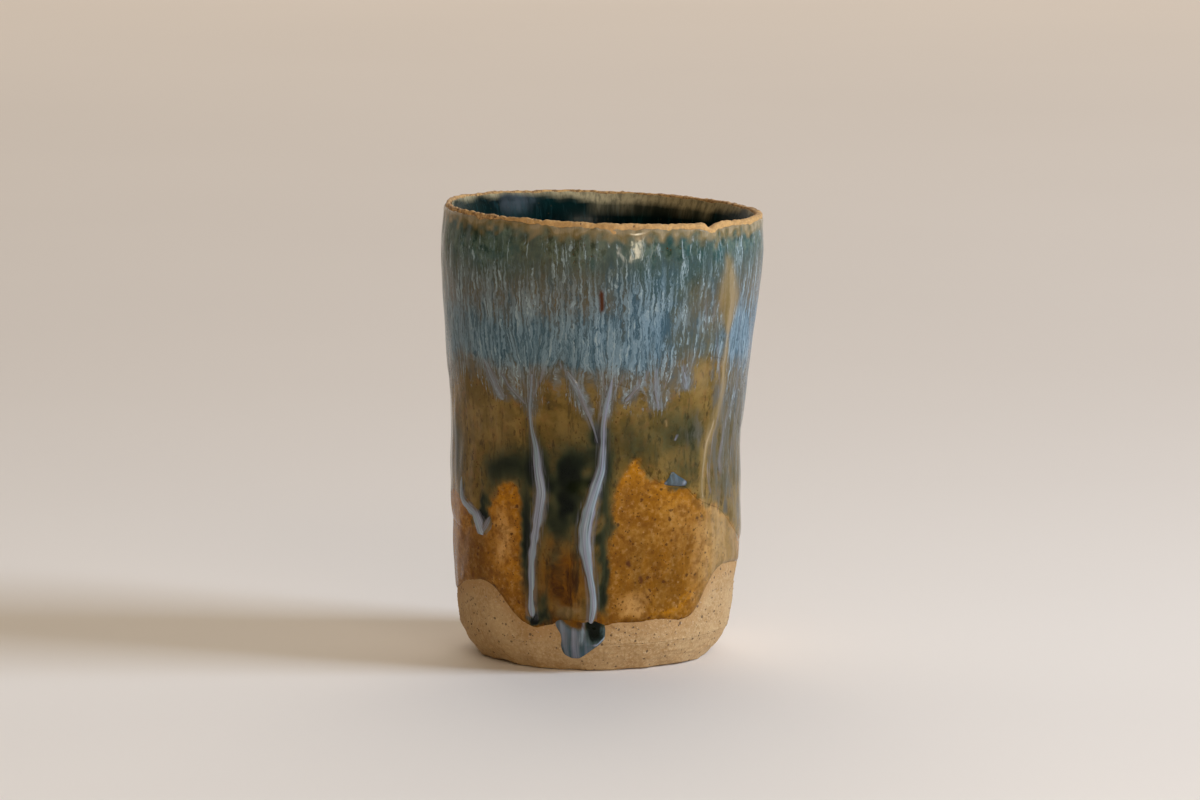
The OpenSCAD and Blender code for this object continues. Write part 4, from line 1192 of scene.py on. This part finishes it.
# %% Make the runs
# name, depth share, glow, height of a dark tip
long_runs = [("run_middle", 0.26, 1.15, 12.0), ("run_right", 0.26, 1.15, 0.0),
             ("run_branch", 0.26, 0.85, 0.0), ("drip_left", 0.34, 1.15, 0.0)]
FORK_SEED, FINGER_SEED, FINGER_DEPTH = 7, 10, 0.20
for seed, (name, depth, glow, tip) in enumerate(long_runs, 1):
    mesh = shade_run(sweep_run(name, run_tables[name], depth), seed, glow, 0.4, tip)
    if name == "drip_left":
        fork = shade_run(sweep_run("drip_fork", run_tables["drip_fork"], depth), FORK_SEED, 0.72, 0.3)
        mesh = joined(name, [mesh, fork])
    finish_piece(name + "_glaze", mesh, name, outer_glaze)
fingers = []
for i, (name, table) in enumerate(run_tables.items()):
    if name.startswith("finger"):
        fingers.append(shade_run(sweep_run(name, table, FINGER_DEPTH), FINGER_SEED + i, 0.86, 0.3))
fringe = joined("fringe_finger_glaze", fingers)
finish_piece("fringe_finger_glaze", fringe, "fringe_fingers", outer_glaze)

# %% [markdown]
# ## The drop and the curl
# Where the runs reached the foot, a broad teal drop hangs over the bevel, with a dark bead at its right.
# A small curl sits on the edge of the olive coat. Both are lens-shaped bodies between a left and a right
# edge, so rows of arcs that stand on the surface below make them, closed at the back.

# %% Lens-shaped bodies
BACK_DEPTH = 0.12
foot_start = foot_edge + stroke + slant * lift

def foot_radius(turn, height):
    start, over, low = (np.interp(turn, column_turns, v) for v in (foot_start, top_ring, lift))
    share = np.clip((height - low) / (FLOOR_TOP - low), 0, 1)
    bevel = start + (over - start) * share + BOW * np.sin(np.pi * share) ** 2
    return np.where(height < FLOOR_TOP, bevel, outside(turn, height))

def lens_body(name, table, carrier, steps=56, arcs=37):
    rows = np.array(sorted(table), float)
    s = np.linspace(rows[0, 0], rows[-1, 0], steps)
    left, right, thick = (softened(np.interp(s, rows[:, 0], rows[:, k]), 4) for k in (1, 2, 3))
    across = np.sin(np.linspace(-np.pi / 2, np.pi / 2, arcs))
    rings, sides = [], []
    for z, a, b, h in zip(s, left, right, thick):
        turn = (a + b) / 2 + across * (b - a) / 2
        height = np.full(arcs, z)
        base = carrier(turn, height)
        crown = h * (1 - np.abs(across) ** 2.4) ** 0.6 * (1 + 0.05 * swell(on_wall(turn, height), 2.5, 61))
        front, back = place(turn, base + crown, height), place(turn, base - BACK_DEPTH, height)
        rings.append(np.vstack([front, back[::-1]]))
        sides.append(np.concatenate([across, across[::-1]]))
    mesh = ring_mesh(name, rings, closed=False)
    points, turn = points_of(mesh)
    return mesh, turn, points[:, 2], np.append(np.concatenate(sides), [0, 0])

print("bevel starts", np.round(foot_start.min(), 1), "to", np.round(foot_start.max(), 1), "mm from the axis")

# %% The drop
# height, left, right, thickness
drop_rows = [(3.1, -10.0, -7.0, 0.2), (3.5, -12.4, -5.2, 0.6), (4.2, -13.6, -3.4, 0.8),
             (5.2, -14.2, -0.8, 0.85), (6.2, -14.2, 1.8, 0.8), (7.4, -13.9, 4.0, 0.75),
             (8.6, -14.2, 4.5, 0.75), (9.6, -15.4, 4.5, 0.7), (10.8, -16.6, 4.2, 0.5),
             (12.0, -17.5, 4.0, 0.3), (12.6, -17.5, 3.6, 0.15)]
mesh, turn, height, side = lens_body("foot_drop_glaze", drop_rows, foot_radius)
bead = np.exp(-np.abs((turn - 0.2 + 0.35 * (height - 9.2)) / 3.6) ** 3 - np.abs((height - 9.4) / 2.9) ** 3)
strand = 0.8 * bump(turn, -4.9 + 0.25 * (height - 9), 0.8) * between(5.6, 8, height)
rill = 0.30 * bump(turn, -13.2, 1.0) * between(5, 8, height) + 0.22 * bump(turn, -8.6, 0.8) + strand
rim_of_drop = between(0.80, 1.0, np.abs(side))
neck = between(9.6, 11.2, height + 0.7 * bump(turn, -6, 5) - 1.4 * bump(turn, -14.5, 2.5))
# painted highlight: a thin pale line along the lower right edge of the dark bead
under = bump(height - 0.5 * np.maximum(turn - 1.0, 0), 6.3, 0.25) * between(-2, 1, turn)
dark = 1.6 * bead + 0.35 * bump(turn, -10.6, 0.9) + 0.20 * bump(turn, -7.0, 1.0) + 0.4 * rim_of_drop
open_teal = (1 - bead) * (1 - neck)
rope_and_glint = ((0.40 + rill - strand) * (1 - neck) + strand) * (1 - bead) + 0.75 * under
shares = {name: 0 * side for name in ("thin", "rust", "peach", "tan")}
shares["flow"] = on_wall(turn, height) * np.array([0.45, 0.45, 0.8])
shares.update({"blue": 0.10 * open_teal, "veil": 0.75 * open_teal, "teal": 1 - neck, "warm": neck})
shares.update({"pool_and_shade": np.clip(dark, 0, 1.2), "rope_and_glint": np.clip(rope_and_glint, 0, 1)})
paint_shares(mesh, turn, height, shares)
finish_piece("foot_drop_glaze", mesh, "foot_drop", outer_glaze)

# %% The curl
def on_olive(turn, height):
    return outside(turn, height) + coat_lift(turn, height, "olive")

# height, left, right, thickness, as for the drop
curl_rows = [(39.7, 35.6, 38.4, 0.1), (40.1, 29.0, 38.9, 0.3), (40.6, 28.3, 38.6, 0.4),
             (41.2, 29.4, 37.0, 0.42), (41.8, 30.2, 35.0, 0.38), (42.4, 30.8, 33.4, 0.3),
             (42.9, 31.2, 32.2, 0.1)]
mesh, turn, height, side = lens_body("edge_curl_glaze", curl_rows, on_olive, 30, 25)
# painted highlights: two pale spots at the ends of the curl
tip_glints = bump(turn, 37.4, 1.0) * bump(height, 40.4, 0.5) + 0.8 * bump(turn, 29.0, 0.6) * bump(height, 40.6, 0.5)
crest = 0.26 * between(1.0, 0.3, np.abs(side)) + 0.7 * tip_glints
even_shares = {"blue": 0.35, "veil": 0.85, "pool_and_shade": 0.55, "thin": 0.0, "rust": 0.0}
shares = {name: np.full(len(side), value) for name, value in even_shares.items()}
shares.update({"flow": on_wall(turn, height) * 0.25, "rope_and_glint": np.clip(crest, 0, 1.1)})
paint_shares(mesh, turn, height, shares)
finish_piece("edge_curl_glaze", mesh, "edge_curl", outer_glaze)

# %% [markdown]
# ## The lining
# The inside is a dark teal glass that breaks to brown just under the lip. In its lower part, rays from a
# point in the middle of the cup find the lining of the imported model, so the skin follows its rounded corner.
# Higher up, the skin lies on the measured wall. Its hidden side lies a little behind it.

# %% Measure the lining
lining = surface_of("liner_coat")
EYE, LINER_DROP = 32.0, 0.4
tilts = np.linspace(-88, -2, 44)

def lining_reach(turn, tilt):
    x, y = (float(v) for v in facing(turn))
    start = Vector((0, 0, EYE * MM))
    way = Vector((x * math.cos(tilt), y * math.cos(tilt), math.sin(tilt)))
    return (lining.ray_cast(start, way)[0] - start).length / MM

bowl = np.array([[lining_reach(t, math.radians(a)) for t in turns] for a in tilts])
bowl = blurred_round(bowl, TURN_BLUR)
liner_top = rim - LINER_DROP + 0.08 * swell(place(column_turns, 30.0, 0.0), 4.0, 71)
print("lining ends", np.round((rim - liner_top).mean(), 2), "mm below the rim")

# %% Lining skin
LINER_THICK, LINER_FADE = 0.5, 3.0

def bowl_ring(i, out):
    reach = read_round(bowl[i], column_turns) + out
    a = math.radians(tilts[i])
    return place(column_turns, reach * math.cos(a), EYE + reach * math.sin(a))

def wall_lining(height, hidden):
    height = np.broadcast_to(height, column_turns.shape)
    full = LINER_THICK * ease((liner_top - height) / LINER_FADE) + FLOAT
    uneven = 0.05 * swell(place(column_turns, 28.0, height), 9.0, 72) * full
    thick = -COVERED_SINK if hidden else full + uneven
    return place(column_turns, inside(column_turns, height) - thick, height)

rises = np.concatenate([np.linspace(EYE, 78.0, 40), np.linspace(78.6, 90.0, 26)])
rings = [bowl_ring(i, 0.4) for i in range(len(tilts))]
rings += [wall_lining(z, True) for z in (36.0, 50.0, 64.0, 78.0, 88.0)]
rings += [wall_lining(liner_top - d, True) for d in (2.0, 0.0)]
rings += [wall_lining(liner_top - d, False) for d in (0.0, 0.12, 0.3, 0.6, 1.0, 1.6, 2.4)]
rings += [wall_lining(np.minimum(z, liner_top - 2.6), False) for z in rises[::-1]]
rings += [bowl_ring(i, 0.0) for i in range(len(tilts))[::-1]]
liner_mesh = ring_mesh("liner_skin", rings, closed=False)
points, lining_turn = points_of(liner_mesh)
top = np.interp(lining_turn, column_turns, liner_top)
back_right = np.mod(lining_turn, 360)
brown_band = 0.15 + 1.9 * between(100, 140, back_right) * between(198, 178, back_right)
brown_band += 0.25 * swell(points, 7.0, 73)
give(liner_mesh, "breaking", between(brown_band + 0.9, brown_band - 0.9, top - points[:, 2]))
print("lining has", len(rings), "rings")

# %% Lining material
def liner_material():
    paint = Paint("dark_lining")
    mm = paint.place()
    broad = paint.noise(mm, 0.09, 3.0, 0.55)
    streak = paint.noise(paint.drawn(mm, 1.1, 0.10), 1.0, 3.0, 0.6)
    tone = paint.mix(paint.ramp(broad, 0.38, 0.66), (0.0004, 0.006, 0.006), (0.0010, 0.014, 0.0135))
    tone = paint.mix(paint.times(paint.ramp(streak, 0.5, 0.72), 0.5), tone, (0.003, 0.034, 0.037))
    break_up = paint.times(paint.attribute("breaking"), paint.ramp(streak, 0.3, 0.6, 0.5, 1.0))
    tone = paint.mix(break_up, tone, (0.450, 0.380, 0.220))
    specks = paint.ramp(paint.cells(mm, 0.7), 0.08, 0.18, 1.0, 0.0)
    tone = paint.mix(paint.times(specks, 0.3), tone, (0.05, 0.045, 0.02))
    paint.shader.inputs["Specular IOR Level"].default_value = 0.04
    return paint.finish(tone, paint.ramp(streak, 0.3, 0.7, 0.20, 0.30), streak, 0.00004)

finish_piece("liner_skin", liner_mesh, "liner_coat", liner_material())

# %% [markdown]
# ## Grains in the clay
# Iron grains and bits of grog stand proud of the bare foot, because scraping drags the soft clay away from
# them. Geometry Nodes scatter small pebbles of twenty faces over the part of the wall that the amber coat
# leaves bare, sunk by half, with a fixed seed.

# %% Grain tree
grain_sizes = {"Density": 220000.0, "Smallest": 0.00008, "Largest": 0.00022}
GRAIN_SEED = 7
grain_sockets = [("Clay", "INPUT", "Geometry", None)]
grain_sockets += [(name, "INPUT", "Float", value) for name, value in grain_sizes.items()]
grain_sockets += [("Seed", "INPUT", "Int", GRAIN_SEED), ("Grain", "INPUT", "Material", None),
                  ("Grains", "OUTPUT", "Geometry", None)]
grain_kinds = {"given": "NodeGroupInput", "made": "NodeGroupOutput",
               "spread": "GeometryNodeDistributePointsOnFaces", "put": "GeometryNodeInstanceOnPoints",
               "pebble": "GeometryNodeMeshIcoSphere", "bare": "GeometryNodeInputNamedAttribute",
               "size": "FunctionNodeRandomValue", "shape": "FunctionNodeRandomValue",
               "real": "GeometryNodeRealizeInstances", "coat": "GeometryNodeSetMaterial",
               "scale": "ShaderNodeVectorMath", "thin": "ShaderNodeMath"}
grain_settings = [("bare", "data_type", "FLOAT"), ("size", "data_type", "FLOAT"),
                  ("shape", "data_type", "FLOAT_VECTOR"), ("scale", "operation", "SCALE"),
                  ("thin", "operation", "MULTIPLY")]
grain_values = [("bare", "Name", "bare"), ("shape", 0, (0.7, 0.7, 0.35)), ("shape", 1, (1.3, 1.3, 0.7)),
                ("pebble", "Radius", 1.0), ("pebble", "Subdivisions", 1)]
grain_links = [("given", "Clay", "spread", "Mesh"), ("bare", 0, "thin", 0),
               ("given", "Density", "thin", 1), ("thin", 0, "spread", "Density"),
               ("given", "Seed", "spread", "Seed"), ("given", "Smallest", "size", 2),
               ("given", "Largest", "size", 3), ("given", "Seed", "size", "Seed"),
               ("shape", 0, "scale", 0), ("size", 1, "scale", "Scale"),
               ("spread", "Points", "put", "Points"), ("spread", "Rotation", "put", "Rotation"),
               ("pebble", 0, "put", "Instance"), ("scale", 0, "put", "Scale"), ("put", 0, "real", 0),
               ("real", 0, "coat", 0), ("given", "Grain", "coat", "Material"), ("coat", 0, "made", 0)]
grain_tree = build_tree("clay_grains", grain_sockets, grain_kinds, grain_settings, grain_values, grain_links)
print("grain tree has", len(grain_tree.nodes), "nodes")

# %% Grain material
def grain_material():
    paint = Paint("iron_grain")
    mm = paint.place()
    kind = paint.noise(mm, 0.9, 1.0)
    tone = paint.mix(paint.ramp(kind, 0.46, 0.60), (0.075, 0.038, 0.018), (0.50, 0.36, 0.22))
    return paint.finish(tone, paint.ramp(kind, 0.3, 0.7, 0.55, 0.85), paint.noise(mm, 6.0), 0.00003)

grain = grain_material()
print("grain has", len(grain.node_tree.nodes), "nodes")

# %% Scatter the grains
clay_copy = wall_mesh.copy()
bare = between(0.2, 1.6, amber_line(wall_turns) - wall_heights) * between(35.0, 30.0, wall_heights)
give(clay_copy, "bare", bare)
holder = bpy.data.objects.new("grain_ground", clay_copy)
scene.collection.objects.link(holder)
grains = applied(holder, grain_tree, {**grain_sizes, "Seed": GRAIN_SEED, "Grain": grain})
PEBBLE_POINTS = 12
print("grains:", len(grains.vertices) // PEBBLE_POINTS)
finish_piece("clay_grains", grains, None, grain)

# %% [markdown]
# ## Studio
# The cup stands on a plain pale cloth, painted a little darker towards the back as painted shade. A window
# at the right gives the main light, and a wide one lights the cloth behind the cup. A soft fill in front
# lights matt colours only, so it leaves no reflection in the glaze. Two small lamps near the lip show in
# reflections only, and leave the cream glint under the rim. The room is dim in front, so the glassy middle of
# the cup stays dark, and paler behind.

# %% Floor
floor = bpy.data.meshes.new("studio_floor")
HALF_FLOOR = 6
corners = [(x * HALF_FLOOR, y * HALF_FLOOR, 0) for x, y in ((-1, -1), (1, -1), (1, 1), (-1, 1))]
floor.from_pydata(corners, [], [(0, 1, 2, 3)])
floor_object = bpy.data.objects.new("studio_floor", floor)
scene.collection.objects.link(floor_object)
floor_object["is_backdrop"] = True
paint = Paint("pale_cloth")
ground = paint.add("ShaderNodeTexCoord").outputs["Object"]
cloth = paint.noise(ground, 2.5, 3.0)
depth = paint.add("ShaderNodeSeparateXYZ", {0: ground}).outputs["Y"]
# painted shade: the cloth is a little darker towards the back
pale = paint.mix(paint.ramp(depth, -0.1, 0.5), (0.82, 0.785, 0.735), (0.72, 0.665, 0.60))
tone = paint.mix(paint.ramp(cloth, 0.3, 0.7, 0.0, 0.08), pale, (0.5, 0.45, 0.4))
floor.materials.append(paint.finish(tone, 0.9, cloth, 0.0002))
print("cloth is", 2 * HALF_FLOOR, "m wide")

# %% Lights
def window(name, turn, rise, away, size, power, tint, target=(0, 0, 0.05), gloss=True, matt=True):
    light = bpy.data.lights.new(name, "AREA")
    light.shape, light.energy, light.color = "RECTANGLE", power, tint
    light.size, light.size_y = size
    lamp = bpy.data.objects.new(name, light)
    lamp.visible_glossy, lamp.visible_diffuse = gloss, matt
    x, y = facing(turn)
    c, s = math.cos(math.radians(rise)), math.sin(math.radians(rise))
    lamp.location = Vector((float(x) * c, float(y) * c, s)) * away + Vector(target)
    lamp.rotation_euler = (Vector(target) - lamp.location).to_track_quat("-Z", "Y").to_euler()
    scene.collection.objects.link(lamp)

# name, turn, rise, distance, size, power, tint, target
window("side_window", 78, 27, 2.2, (0.85, 0.95), 41.0, (0.87, 1.0, 1.22))
window("back_window", 178, 50, 2.2, (3.0, 1.6), 42.0, (1.0, 0.87, 0.75), (0.0, 1.9, 0.0))
window("front_fill", 14, 20, 1.0, (0.7, 0.7), 3.4, (1.0, 0.85, 0.69), gloss=False)
LIP = (0.006, -0.033, 0.092)
window("low_window", 21.5, 2.5, 0.25, (0.036, 0.048), 0.37, (1.0, 0.84, 0.60), LIP, matt=False)
window("lip_window", 18.5, 8.5, 0.25, (0.075, 0.014), 0.24, (1.0, 0.86, 0.70), LIP, matt=False)
print("two windows, a fill and two glint lamps")

# %% Room
world = bpy.data.worlds.new("soft_room")
scene.world = world
world.use_nodes = True
sky = world.node_tree
way, parts, depth, shade = (sky.nodes.new("ShaderNode" + kind)
                            for kind in ("TexCoord", "SeparateXYZ", "MapRange", "Mix"))
shade.data_type, depth.interpolation_type = "RGBA", "SMOOTHSTEP"
depth.inputs[1].default_value, depth.inputs[2].default_value = 0.30, 0.46
shade.inputs[6].default_value = (0.130, 0.090, 0.045, 1)
shade.inputs[7].default_value = (0.80, 0.72, 0.62, 1)
sky.links.new(way.outputs["Generated"], parts.inputs[0])
sky.links.new(parts.outputs["Y"], depth.inputs[0])
sky.links.new(depth.outputs[0], shade.inputs[0])
sky.links.new(shade.outputs[2], sky.nodes["Background"].inputs["Color"])
print("room is dim in front and paler behind")

# %% Finish
dressed_low, dressed_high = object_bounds()
for title, box in (("cad box", (*cad_low, *cad_high)), ("dressed", (*dressed_low, *dressed_high))):
    print(title, [round(v / MM, 1) for v in box])
